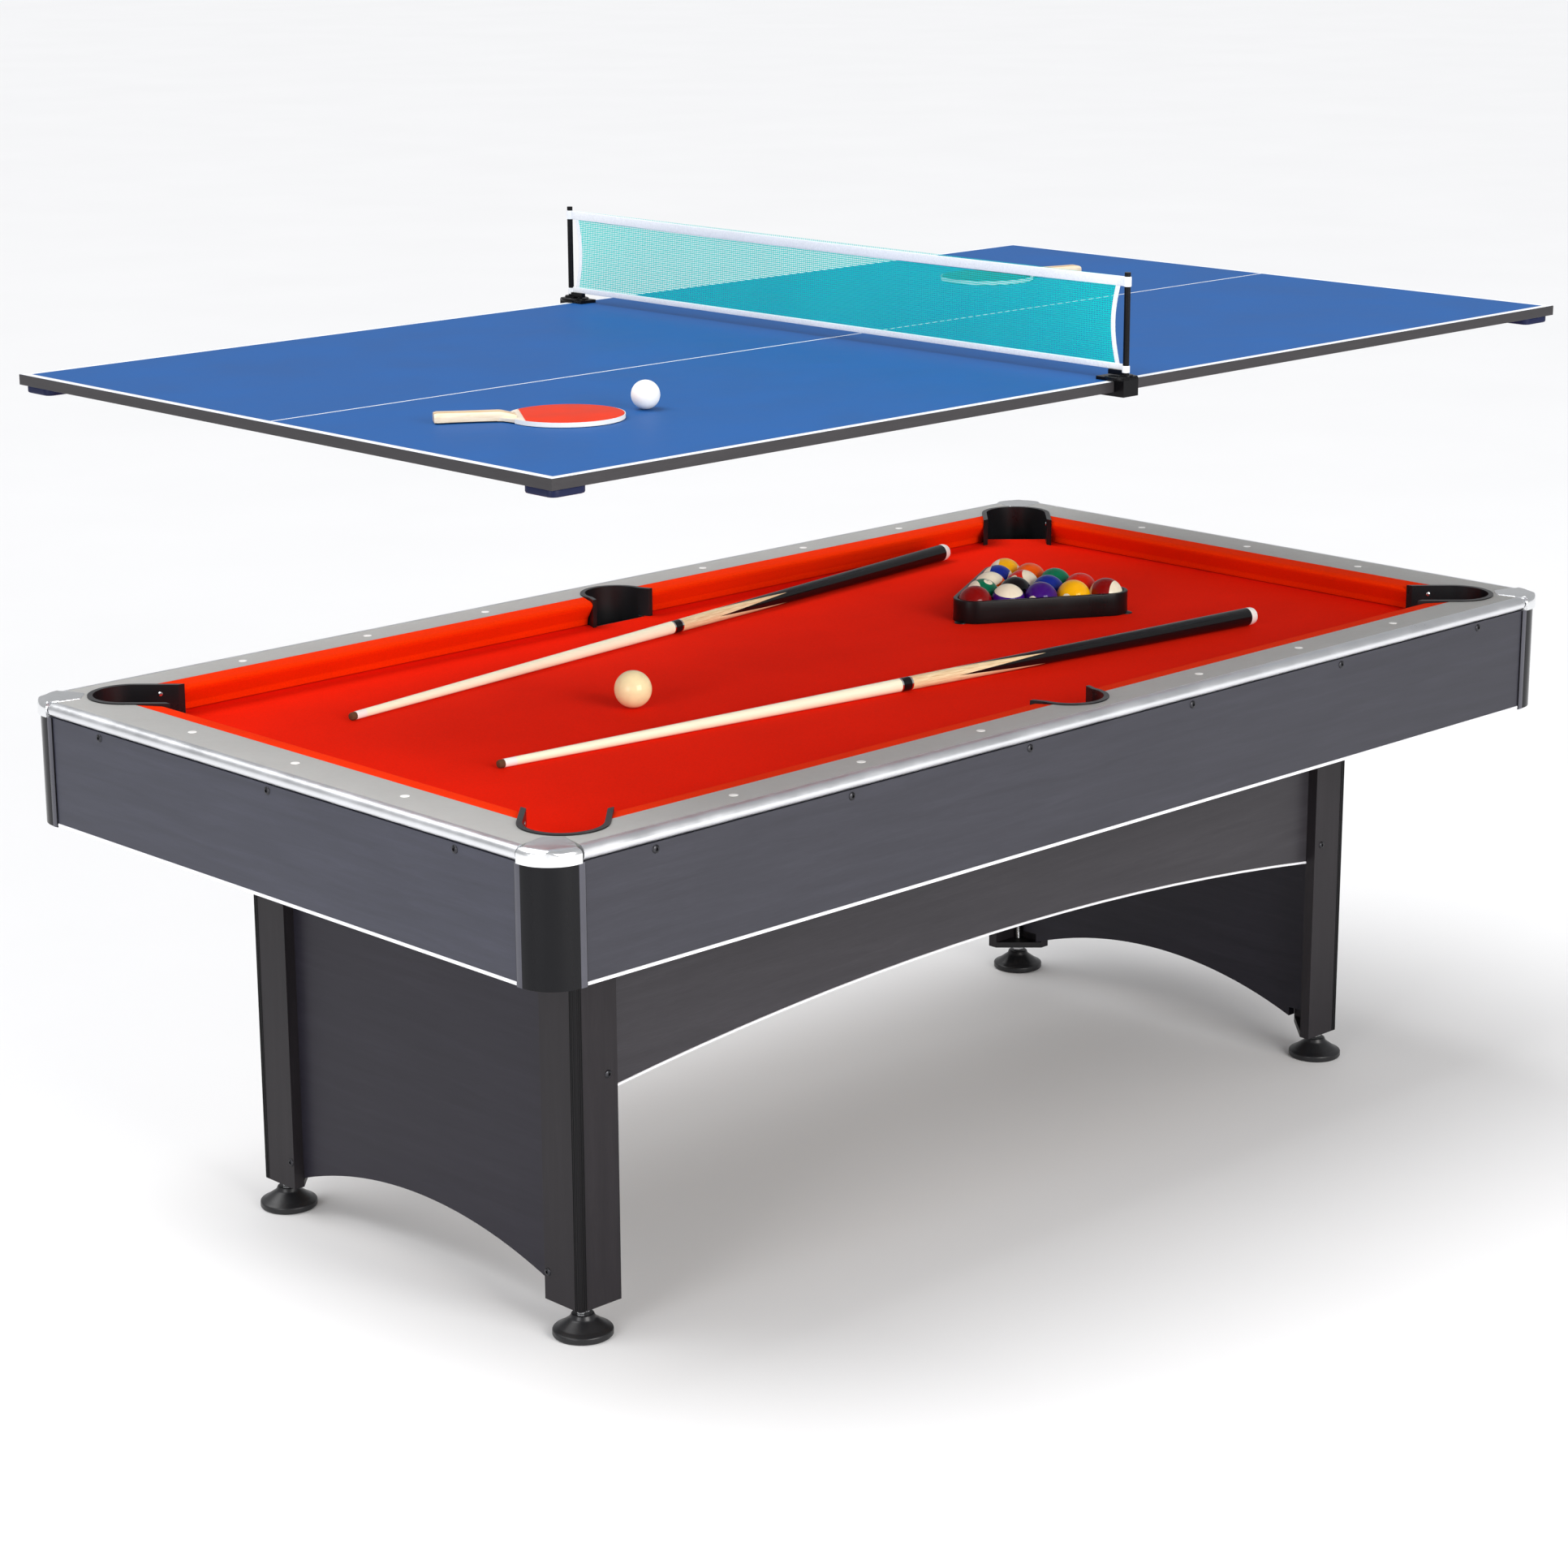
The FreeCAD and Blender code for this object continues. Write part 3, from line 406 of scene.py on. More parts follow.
def metal(name, base, roughness):
    """Plated metal with faint smudges."""
    g = Graph(name, metallic=1.0)
    smear = g.noise(14.0, detail=5.0, roughness=0.65)
    g.tint(smear, base, 0.94, 1.03)
    g.rough(smear, roughness * 0.8, roughness * 1.3)
    g.bump(g.noise(60.0, detail=3.0), 0.04, 0.08)
    return g.material


def resin(name, base):
    """Polished ball resin with a clear, hard gloss."""
    g = Graph(name, specular_ior_level=0.24)
    cloud = g.noise(60.0, detail=4.0)
    g.tint(cloud, base, 0.94, 1.05)
    g.rough(cloud, 0.04, 0.08, 0.0, 1.0)
    return g.material


def timber(name, base, grain, roughness, coat=0.0, contrast=0.25):
    """Real wood, bare or varnished."""
    g = Graph(name, coat_weight=coat, coat_roughness=0.06, specular_ior_level=0.4)
    broad = g.noise(16.0, grain, detail=6.0, roughness=0.6, distortion=0.8)
    pores = g.noise(160.0, grain, detail=3.0, roughness=0.7)
    g.tint(g.both(broad, 0.7, pores), base, 1 - contrast, 1 + contrast * 0.7, 0.32, 0.68)
    g.rough(pores, roughness * 0.8, roughness * 1.3)
    g.bump(pores, 0.1, 0.15)
    return g.material


def two_faced(name, face, backer):
    """Painted board, its underside covered with a pale balancing paper."""
    g = Graph(name, specular_ior_level=0.12)
    smear = g.noise(7.0, detail=5.0, roughness=0.6)
    normal = g.node("NewGeometry", output=None)["True Normal"]
    below = g.math("LESS_THAN", g.xyz(normal)[2], -0.5)
    painted = g.fade(smear, shade(face, 0.94), shade(face, 1.06))
    g.colour(g.mix(below, painted, backer))
    g.rough(smear, 0.5, 0.56)
    g.bump(g.noise(700.0, detail=2.0), 0.12, 0.1)
    return g.material


# directions that a grain runs in, as a texture's stretch
ALONG_X = (1, 14, 14)
ALONG_Y = (14, 1, 14)
ALONG_Z = (14, 14, 1)
RED_SHEEN = (1.0, 0.35, 0.25, 1.0)

bed_red = cloth("bed_cloth", srgb(238, 28, 0), sheen=RED_SHEEN)
# the bed's cloth, painted lighter and more orange on the cushions: painted light
cushion_painted_lit_red = cloth("cushion_cloth", srgb(238, 48, 0), sheen=RED_SHEEN)
apron_x = laminate("apron_laminate_long", srgb(50, 50, 58), ALONG_X)
# the long aprons' laminate, painted lighter and bluer on the end aprons: a painted sheen
apron_end_painted_light = laminate("apron_laminate_end_painted_light", srgb(56, 57, 68), ALONG_Y)
leg_laminate = laminate("leg_laminate", srgb(38, 35, 38), ALONG_Z, gloss=0.18)
panel_x = laminate("panel_laminate_long", srgb(54, 52, 56), ALONG_X, gloss=0.22)
panel_y = laminate("panel_laminate_end", srgb(40, 38, 46), ALONG_Y, gloss=0.18)
rail_grey = laminate("rail_laminate", srgb(168, 168, 165), (2, 2, 2), 0.05, (0.36, 0.5))
silver = metal("trim_silver", (0.78, 0.79, 0.81, 1), 0.34)
chrome = metal("chrome", (0.88, 0.89, 0.9, 1), 0.2)
bead_white = plastic("bead_white", srgb(232, 232, 236), 0.22, coat=0.3, variation=0.03)
post_gloss = plastic("post_gloss", srgb(14, 14, 17), 0.16, bump=0.02, gloss=0.16)
# a lighter grey for the posts' flanges: it paints the highlight on the black moulding
post_painted_highlight = plastic("post_painted_highlight", srgb(74, 74, 82), 0.3, bump=0.03, gloss=0.3)
pocket_plastic = plastic("pocket_plastic", srgb(26, 26, 28), 0.3, bump=0.1, gloss=0.25)
strip_plastic = plastic("strip_plastic", srgb(16, 15, 17), 0.34, gloss=0.16)
foot_plastic = plastic("foot_plastic", srgb(28, 28, 30), 0.34, bump=0.12)
powder = plastic("powder_coat", srgb(26, 26, 28), 0.45, grain=500.0, bump=0.25)
bolt_black = metal("bolt_black", (0.05, 0.05, 0.055, 1), 0.32)
zinc = metal("zinc", (0.72, 0.73, 0.74, 1), 0.25)
fibreboard = timber("fibreboard", srgb(150, 118, 82), PLAIN, 0.7, contrast=0.08)
softwood = timber("softwood", srgb(196, 160, 112), (12, 1, 12), 0.65)
sight_white = plastic("sight_white", srgb(250, 249, 245), 0.2, coat=0.2, variation=0.02)
tennis_blue = two_faced("tennis_blue", srgb(29, 87, 153), srgb(184, 202, 208))
line_white = plastic("line_white", srgb(236, 238, 242), 0.5, grain=700.0, bump=0.1, variation=0.02)
edging = laminate("edging_black", srgb(50, 48, 50), (2, 2, 20), 0.15)
pad_navy = plastic("pad_navy", srgb(14, 22, 58), 0.5, bump=0.2, gloss=0.2)
net_cord = cloth("net_cord", srgb(0, 206, 198), 0.6)
tape_white = cloth("tape_white", srgb(236, 238, 240), 0.8)
enamel = plastic("post_enamel", srgb(11, 11, 13), 0.26, gloss=0.14)


# ---- the table ----
def cushion_profile():
    """Section of a cushion as (distance back from the nose, depth below the rail top)."""
    corners = [(36, -0.4), (7, -2.4), (0, -6.6), (3.4, -13), (20, -33), (22, -44.2), (36, -44.2)]
    radii = [0, 14, 3.2, 9, 8, 2.0, 0]
    scale = CUSHION_WIDTH / corners[0][0]
    return [(p.x * scale, p.y * MM) for p in fillet(corners, radii, 7)]


def cushion(node, along):
    """A cloth-covered rubber cushion, its ends cut to suit the pockets beside it."""
    low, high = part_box(node)
    across = 1 - along
    side = 1 if (low + high)[across] > 0 else -1
    nose = min(abs(low[across]), abs(high[across]))
    stations = 60
    side_mouth_slope = 0.29
    rings = []
    for k in range(stations + 1):
        ring = []
        for back, depth in cushion_profile():
            jaw = CUSHION_WIDTH - back
            mouth = jaw * side_mouth_slope
            if along:
                cuts = (jaw, jaw)
            else:
                cuts = (mouth, jaw) if low.x > 0 else (jaw, mouth)
            start = low[along] + cuts[0]
            end = high[along] - cuts[1]
            point = Vector((0, 0, RAIL_TOP + depth))
            point[along] = start + (end - start) * k / stations
            point[across] = side * (nose + back)
            ring.append(point)
        rings.append(ring)
    piece = build(node + "_cloth", [loft(rings)], "table", cushion_painted_lit_red, node, 50)


def bed_outline(high):
    """The bed's plan: it stops at the front walls of the corner and side pockets' cups."""
    corner_wall = 15 * MM
    front = NOSE_X + POCKET_OUT + NOSE_Y + POCKET_OUT - corner_wall * sqrt(2)
    side_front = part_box("pocket_side_back")[0].y + 4.4 * MM
    quarter = [(THROAT, side_front), (THROAT, high.y), (front - high.y, high.y), (high.x, front - high.x)]
    outline = []
    for sx, sy in ((1, 1), (1, -1), (-1, -1), (-1, 1)):
        points = [Vector((sx * x, sy * y)) for x, y in quarter]
        outline += points if sx * sy > 0 else points[::-1]
    return outline


def bed_cloth():
    """The playing cloth, cut out at the pockets, where each open edge rolls over and hangs down."""
    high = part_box("bed_cloth")[1]
    outline = bed_outline(high)
    fold = 3 * MM
    hang = 14 * MM
    rows = [(fold * sin(t), fold * (cos(t) - 1)) for t in (0, 0.4, 0.8, 1.2, pi / 2)]
    rows.append((fold, -hang))
    verts = [Vector((p.x, p.y, CLOTH_TOP)) for p in outline]
    faces = [list(range(len(outline)))]
    for a, b in zip(outline, outline[1:] + outline[:1]):
        at_corner = min(abs(a.x - b.x), abs(a.y - b.y)) > 10 * MM
        at_side = abs(a.x + b.x) < 1 * MM
        if not (at_corner or at_side):
            continue
        outward = Vector((b.y - a.y, a.x - b.x)).normalized()
        if outward.dot(a + b) < 0:
            outward = -outward
        start = len(verts)
        for out, drop in rows:
            for p in (a, b):
                q = p + outward * (out - fold)
                verts.append(Vector((q.x, q.y, CLOTH_TOP + drop)))
        faces += [[s, s + 1, s + 3, s + 2] for s in range(start, len(verts) - 2, 2)]
    piece = build("playing_cloth", [(verts, faces)], "table", bed_red, "bed_cloth")


def sights():
    """Round inlays with a slightly domed face."""
    low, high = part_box("rail_sights")
    radius = 6.5 * MM
    profile = [(0, high.z), (radius * 0.8, high.z - 0.03 * MM), (radius * 0.97, high.z - 0.1 * MM)]
    profile += [(radius, high.z - 0.25 * MM), (radius, low.z), (0, low.z)]
    dot = lathe(profile, 32)
    y = high.y - radius
    x = high.x - radius
    places = [(k * SIGHT_PITCH, s * y) for k in (-3, -2, -1, 1, 2, 3) for s in (-1, 1)]
    places += [(s * x, k * SIGHT_PITCH) for k in (-1, 0, 1) for s in (-1, 1)]
    parts = [moved(dot, *place) for place in places]
    build("sight_inlays", parts, "table", sight_white, "rail_sights")


def button_head(radius, tall):
    """A domed bolt head with a hex recess, standing on Z = 0."""
    recess = 2.6 * MM
    flat = pi / 6
    rings = [circle(radius, 24, -0.2 * MM)]
    rings += [circle(radius * cos(t), 24, tall * sin(t)) for t in (0.0, 0.25, 0.5, 0.8, 1.05)]
    for z in (tall * 0.92, 0.6 * MM):
        ring = []
        for a in turn_angles(24):
            r = recess * cos(flat) / cos(a % (2 * flat) - flat)
            ring.append((r * cos(a), r * sin(a), z))
        rings.append(ring)
    return loft(rings)


def bolts():
    """Button-head bolts, one where each solid of the CAD node shows its head."""
    tall = 2.5 * MM
    button = button_head(6.0 * MM, tall)
    parts = []
    for low, high in shells(frame["nodes"]["panel_bolts"].data):
        size = high - low
        axis = 0 if size.x >= size.y else 1
        spot = (low + high) / 2
        outward = Vector((0, 0, 0))
        outward[axis] = 1 if spot[axis] > 0 else -1
        spot[axis] = (high if outward[axis] > 0 else low)[axis] - outward[axis] * tall
        parts.append(facing(button, spot, outward))
    build("button_bolts", parts, "table", bolt_black, "panel_bolts", 30)


def pocket_screws():
    """Small bright screws in the walls of the corner pockets' throats."""
    radius = 3.6 * MM
    head = lathe([(0, 1.5 * MM), (radius * 0.5, 1.4 * MM), (radius * 0.85, 1.0 * MM), (radius, 0.4 * MM),
                  (radius, -0.5 * MM), (0, -0.5 * MM)], 20)
    forward = 36 * MM
    below_rail = 12 * MM
    centre = Vector((NOSE_X + POCKET_OUT, NOSE_Y + POCKET_OUT))
    inward = Vector((-1, -1)).normalized()
    across = Vector((1, -1)).normalized()
    parts = []
    for sx, sy in CORNERS.values():
        for side in (-1, 1):
            spot = centre + inward * forward + across * THROAT * side
            place = Vector((spot.x * sx, spot.y * sy, RAIL_TOP - below_rail))
            parts.append(facing(head, place, (-across.x * side * sx, -across.y * side * sy, 0)))
    build("liner_screws", parts, "table", zinc, "pocket_screws", 30)


def strip_ribs():
    """Fine raised ribs down both faces of each leg's corner strip."""
    low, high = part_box("leg_corner_strips")
    rib = circle(0.7 * MM, 8)
    parts = []
    for inset in (4.5 * MM, 8 * MM, 11.3 * MM):
        for x, y in ((high.x - inset, high.y), (high.x, high.y - inset)):
            parts += at_corners(bar([(x, y, low.z), (x, y, high.z)], rib, up=(1, 0, 0)))
    build("strip_ribs", parts, "table", strip_plastic, angle=60)


def corner_caps():
    """Bright cast caps: a crowned outer edge, and an oval swell that dies into the rails."""
    low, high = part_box("corner_caps")
    face_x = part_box("apron_right")[1].x
    face_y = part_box("apron_back")[1].y
    corners = [(face_x - 70 * MM, face_y - 44.5 * MM), (face_x - 48.5 * MM, face_y - 66 * MM),
               (high.x, face_y - 55 * MM), (high.x, high.y), (face_x - 55 * MM, high.y)]
    outline = refined(fillet(corners, [2 * MM, 2 * MM, 0, 55.5 * MM, 0], 16), 3 * MM)
    middle = Vector((face_x - 30 * MM, face_y - 30 * MM))
    crown = 16 * MM
    swell = 0.5 * MM
    edge_top = high.z - swell
    rings = [[(p.x, p.y, low.z) for p in outline]]
    steps = 8
    for k in range(steps + 1):
        t = pi / 2 * k / steps
        ring = []
        for p in outline:
            # from 0 over the rails to 1 at the table's outer faces
            outer = max(0.0, min(1.0, max(p.x - face_x, p.y - face_y) / crown + 1))
            inset = (8 + 6 * outer) * MM
            drop = (2.0 + 9.0 * outer) * MM
            q = p + (middle - p).normalized() * inset * (1 - cos(t))
            ring.append(Vector((q.x, q.y, edge_top - drop * (1 - sin(t)))))
        rings.append(ring)
    rim = rings[-1]
    for share in (0.75, 0.5, 0.25, 0.02):
        z = edge_top + swell * (1 - share ** 2)
        rings.append([(*(middle + (p.xy - middle) * share), z) for p in rim])
    build("corner_cap_castings", at_corners(loft(rings)), "table", chrome, "corner_caps", 50)


def post_edges():
    """Lighter grey strips down both flanges of each corner post: a painted highlight on the one black
    moulding.
    """
    low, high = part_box("corner_posts")
    near, far = 53.5 * MM, 64 * MM
    out, back = 0.4 * MM, -0.6 * MM
    section = [(back, far), (out, far), (out, near), (back, near)]
    end_plan = [(high.x + a, high.y - b) for a, b in section]
    side_plan = [(high.x - b, high.y + a) for a, b in section]
    parts = []
    for plan in (end_plan, side_plan):
        parts += at_corners(slab(fillet(plan, 0.35 * MM, 2), low.z, high.z))
    build("post_highlight_strips", parts, "table", post_painted_highlight, angle=40)


def foot_pad(edge, neck):
    """A turned pad with a flat rim and a hollow cone up to its neck."""
    corners = [(0, 0), (edge - 2 * MM, 0), (edge, 2.5 * MM), (edge, 10 * MM), (edge - 8 * MM, 14 * MM),
               (19 * MM, 26 * MM), (16 * MM, neck), (9 * MM, neck + 1e-5), (0, neck)]
    radii = [0, 1.5 * MM, 1.5 * MM, 3 * MM, 6 * MM, 9 * MM, 2.5 * MM, 0, 0]
    return lathe([tuple(p) for p in fillet(corners, radii, 5, closed=False)], 64)


def threaded_stud(bottom, top):
    pitch, root, crest = 1.5 * MM, 4.4 * MM, 5.0 * MM
    thread = [(0, bottom), (root, bottom)]
    z = bottom
    while z < top - pitch:
        thread += [(crest, z + pitch * 0.4), (crest, z + pitch * 0.6), (root, z + pitch)]
        z += pitch
    return lathe(thread + [(root - 0.2 * MM, top), (0, top)], 24)


def levelling_feet():
    """Moulded pad, lock nut and threaded stud under each leg."""
    neck = 33 * MM
    nut_top = neck + 6 * MM
    nut = slab(circle(9.8 * MM, 6), neck, nut_top, 0.6, 0.6)
    for name in CORNERS:
        node = "levelling_foot_" + name
        body = "foot_" + name
        low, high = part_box(node)
        x, y = (low.x + high.x) / 2, (low.y + high.y) / 2
        pad = moved(foot_pad((high.x - low.x) / 2, neck), x, y)
        build("foot_pad_" + name, [pad], body, foot_plastic, node, 40)
        steel = [moved(nut, x, y), moved(threaded_stud(nut_top, high.z), x, y)]
        build("foot_stud_" + name, steel, body, zinc, angle=30)


def dress_cad_nodes():
    """Materials and soft edges for the nodes that keep their CAD shape, and the cushions among them."""
    for end in ("front", "back"):
        dress("apron_" + end, apron_x)
        dress("side_panel_" + end, panel_x)
        dress("pocket_side_" + end, pocket_plastic, 2.2)
    for end in ("left", "right"):
        dress("apron_" + end, apron_end_painted_light)
        dress("end_panel_" + end, panel_y)
        cushion("cushion_" + end, 1)
    for end in ("front", "back", "left", "right"):
        dress("rail_" + end, rail_grey, 0.6)
    for name in CORNERS:
        dress("leg_" + name, leg_laminate)
        dress("pocket_" + name, pocket_plastic, 2.2)
        cushion("cushion_" + name, 0)
    for node, material, width in (
            ("edge_trim_strips", silver, 0.05), ("corner_posts", post_gloss, 0.5),
            ("apron_beading", bead_white, 1.2), ("side_panel_beading", bead_white, 1.0),
            ("corner_brackets", zinc, 0.3), ("bed_board", fibreboard, 0.5),
            ("bed_cross_beams", softwood, 1.0), ("leg_corner_strips", strip_plastic, 0.6),
            ("leg_foot_plates", powder, 0.8), ("tennis_top_left", tennis_blue, 0.3),
            ("tennis_top_right", tennis_blue, 0.3), ("tennis_top_edging", edging, 0.5),
            ("tennis_top_pads", pad_navy, 2.5), ("net_posts", enamel, 0.8)):
        dress(node, material, width)


# ---- the table-tennis top ----
def court_lines():
    """White lines round the top and along its middle."""
    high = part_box("tennis_top_edging")[1]
    banding = 1.6 * MM
    width = 11 * MM
    centre_half = 1.5 * MM
    x = high.x - banding
    y = high.y - banding
    strips = [(-x, x, y - width, y), (-x, x, -y, -y + width), (x - width, x, -y + width, y - width),
              (-x, -x + width, -y + width, y - width), (-x + width, x - width, -centre_half, centre_half)]
    bottom, top = TOP_SURFACE - 0.1 * MM, TOP_SURFACE + 0.15 * MM
    lines = [slab([(x0, y0), (x1, y0), (x1, y1), (x0, y1)], bottom, top, 0.05) for x0, x1, y0, y1 in strips]
    build("court_lines", lines, "tennis_top", line_white)


def wander():
    """How far a net's cord strays from its line."""
    return random.uniform(-0.12, 0.12) * MM


def net_cords(bottom, top, half, side_line, bow):
    """Upright and level cords between the bowed side tapes, and the area that they have laid flat."""
    wide, thick = 1.2 * MM, 0.5 * MM
    section = [(thick / 2, 0), (0, wide / 2), (-thick / 2, 0), (0, -wide / 2)]
    pitch = 3.0 * MM
    tall = top - bottom
    parts = []
    length = 0.0
    columns = int(2 * half / pitch)
    for i in range(columns + 1):
        y = -side_line + 2 * side_line * i / columns
        beyond = (side_line - abs(y)) / bow
        stretches = [(0.0, 1.0)]
        if beyond < 1.0:
            # a side tape crosses this cord's line twice
            meets = asin(max(0.0, beyond)) / pi
            stretches = [(0.0, meets), (1.0 - meets, 1.0)] if meets > 0.06 else []
        for first, last in stretches:
            path = []
            for k in range(5):
                aside = wander()
                path.append((wander(), y + aside, bottom + tall * (first + (last - first) * k / 4)))
            parts.append(bar(path, section, up=(0, 1, 0)))
            length += (last - first) * tall
    rows = int(tall / pitch)
    for k in range(1, rows):
        reach = side_line - bow * sin(pi * k / rows)
        path = []
        for i in range(41):
            aside = wander()
            path.append((wander(), -reach + 2 * reach * i / 40, bottom + tall * k / rows + aside))
        parts.append(bar(path, section))
        length += 2 * reach
    return parts, length * hypot(wide, thick)


def band(name, path, wide, up=(0, 0, 1), thick=1.0 * MM):
    """A white tape sewn round the net's edge."""
    corners = [(-thick, -wide / 2), (thick, -wide / 2), (thick, wide / 2), (-thick, wide / 2)]
    tape = bar(path, fillet(corners, 0.8 * MM, 3), up=up)
    return build(name, [tape], "tennis_top", tape_white, angle=50)


def net():
    """Open mesh with white tapes round it, held between the two posts."""
    low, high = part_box("net")
    bottom, top = low.z, high.z
    half = high.y - 6 * MM
    side_line = half - 4 * MM
    to_post = half + 5 * MM
    bow = 11 * MM
    sag = 2.5 * MM
    top_wide, bottom_wide, side_wide = 14 * MM, 9 * MM, 8 * MM
    parts, cord_area = net_cords(bottom, top, half, side_line, bow)
    mesh = build("net_mesh", parts, "tennis_top", net_cord, "net", 60)
    spans = [i / 40 * 2 - 1 for i in range(41)]
    path = [(0, to_post * t, top - top_wide / 2 - sag * (1 - t * t)) for t in spans]
    tapes = [band("net_top_tape", path, top_wide)]
    path = [(0, to_post * t, bottom + bottom_wide / 2) for t in spans]
    tapes.append(band("net_bottom_tape", path, bottom_wide))
    end = 3 * MM
    for side, name in ((-1, "front"), (1, "back")):
        path = [(0, side * (side_line - bow * sin(pi * k / 20)),
                 bottom + end + (top - bottom - 2 * end) * k / 20) for k in range(21)]
        tapes.append(band("net_side_tape_" + name, path, side_wide, (0, side, 0), 0.7 * MM))
        net_end(name, side)


def net_end(name, side):
    """Tape loops round a post, its domed top, and the oval boss of its clamp."""
    low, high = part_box("net")
    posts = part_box("net_posts")[1]
    radius = NET_POST_RADIUS
    y = side * (posts.y - 10 * MM)
    loop = radius + 1.0 * MM
    parts = []
    for z0, z1 in ((high.z - 14 * MM, high.z), (low.z - 3 * MM, low.z + 7 * MM)):
        ring = [(radius, z0), (loop, z0 + 0.4 * MM), (loop, z1 - 0.4 * MM), (radius, z1)]
        parts.append(moved(lathe(ring, 32), 0, y))
    build("net_loops_" + name, parts, "tennis_top", tape_white)
    top = posts.z
    dome = [(0, top)]
    dome += [(radius * sin(t), top - radius * 0.6 * (1 - cos(t))) for t in (0.4, 0.8, 1.2, 1.57)]
    dome += [(radius, top - 5 * MM), (0, top - 5 * MM)]
    boss_top = TOP_SURFACE + 7 * MM
    oval = [(21 * MM * cos(t), y - side * 8 * MM + 26 * MM * sin(t)) for t in turn_angles(48)]
    oval = [(a, side * min(side * b, posts.y)) for a, b in oval]
    lip = [(radius, boss_top), (11 * MM, boss_top), (10 * MM, boss_top + 2.5 * MM),
           (radius, boss_top + 3 * MM)]
    parts = [moved(lathe(ring, 32), 0, y) for ring in (dome, lip)]
    parts.append(slab(oval, boss_top - 5 * MM, boss_top, 1.5, 0.8))
    build("net_clamp_boss_" + name, parts, "tennis_top", enamel)


# ---- balls and rack ----
def ball(name, centre, axis, body, pair, node):
    """A sphere turned about its stripe's axis; faces inside the band take the pair's second material."""
    direction = Vector(axis).normalized()
    limit = asin(STRIPE_SHARE)
    polar = pi / 2 - limit
    latitudes = [-pi / 2 + polar * k / 8 for k in range(9)]
    latitudes += [-limit + 2 * limit * k / 12 for k in range(1, 12)]
    latitudes += [limit + polar * k / 8 for k in range(9)]
    sphere = lathe([(BALL_RADIUS * cos(a), BALL_RADIUS * sin(a)) for a in latitudes])
    piece = build(name, [facing(sphere, centre, direction)], body, pair, node, 60)
    for face in piece.data.polygons:
        if abs((face.center - centre).normalized().dot(direction)) < STRIPE_SHARE:
            face.material_index = 1


def on_ball(centre, outward, up, u, v, lift):
    """A point on the ball, u and v metres across its face from the outward point."""
    outward = outward.normalized()
    right = up.cross(outward).normalized()
    rise = outward.cross(right).normalized()
    distance = hypot(u, v)
    direction = outward
    if distance > 1e-9:
        angle = distance / BALL_RADIUS
        direction = outward * cos(angle) + (right * u + rise * v) / distance * sin(angle)
    return centre + direction * (BALL_RADIUS + lift)


def number_disc(centre, outward, up):
    """A white disc let into the ball for its number."""
    lift = 0.06 * MM
    rows = [(2.0, lift), (4.0, lift), (6.0, lift), (7.6, lift), (8.0, -0.1 * MM)]
    count = 32
    verts = [on_ball(centre, outward, up, 0, 0, lift)]
    for radius, height in rows:
        verts += [on_ball(centre, outward, up, p.x, p.y, height) for p in circle(radius * MM, count)]
    faces = [[0, 1 + k, 1 + (k + 1) % count] for k in range(count)]
    for a in range(1, 1 + count * (len(rows) - 1), count):
        b = a + count
        faces += [[a + k, b + k, b + (k + 1) % count, a + (k + 1) % count] for k in range(count)]
    return verts, faces


def digits(text, centre, outward, up):
    """The ball's number, laid on the disc."""
    curve = bpy.data.curves.new("digits", "FONT")
    curve.body = text
    curve.align_x = "CENTER"
    curve.align_y = "CENTER"
    curve.size = 10.5 * MM if len(text) == 1 else 8.5 * MM
    curve.resolution_u = 4
    holder = added("digits", curve)
    bpy.context.view_layer.update()
    flat = bpy.data.meshes.new_from_object(holder.evaluated_get(bpy.context.evaluated_depsgraph_get()))
    verts = [on_ball(centre, outward, up, v.co.x, v.co.y, 0.12 * MM) for v in flat.vertices]
    faces = [list(p.vertices) for p in flat.polygons]
    bpy.data.objects.remove(holder)
    bpy.data.curves.remove(curve)
    bpy.data.meshes.remove(flat)
    return verts, faces


BALL_COLOURS = {
    "yellow": (248, 182, 8), "blue": (14, 40, 140), "red": (206, 26, 2), "purple": (60, 14, 116),
    "orange": (234, 88, 0), "green": (0, 112, 76), "maroon": (128, 8, 6), "black": (16, 16, 18),
}
# number, colour, stripe axis and number direction; row by row from the apex, front to back in each row;
# directions are (to the right, to the front, up) as seen from the table's front left corner
RACK_ORDER = [
    (7, "maroon", (0.1, 0.2, 1.0), (0.8, -0.8, 0.1)),
    (12, "purple", (0.05, 0.22, 1.0), (0.9, 0.4, 0.0)),
    (14, "green", (-1.0, 0.45, 0.2), (-0.4, 0.5, 0.8)),
    (4, "purple", (0.3, 0.1, 1.0), (0.7, -0.9, 0.2)),
    (8, "black", (0.2, 0.1, 1.0), (-0.3, 0.5, 0.8)),
    (13, "orange", (-0.2, 0.3, 1.0), (0.6, 0.9, 0.0)),
    (1, "yellow", (0.4, 0.1, 1.0), (0.6, -0.9, 0.1)),
    (2, "blue", (0.1, 0.3, 1.0), (0.9, -0.6, 0.2)),
    (11, "red", (0.75, 0.3, 0.5), (-0.3, 0.6, 0.7)),
    (10, "blue", (1.0, 0.2, -0.25), (0.1, -0.8, 0.6)),
    (15, "maroon", (0.9, 0.5, 0.1), (-0.2, -0.7, 0.6)),
    (3, "red", (0.2, 0.2, 1.0), (0.8, -0.7, 0.1)),
    (6, "green", (0.1, 0.1, 1.0), (-0.8, -0.8, 0.1)),
    (5, "orange", (0.3, 0.2, 1.0), (-0.55, 0.5, 0.65)),
    (9, "yellow", (1.0, 0.1, -0.3), (0.2, -0.8, 0.5)),
]
LAST_SOLID = 8


def seen_from_front_left(direction):
    right, front, up = direction
    return Vector((0.72 * right - 0.69 * front, -0.69 * right - 0.72 * front, up))


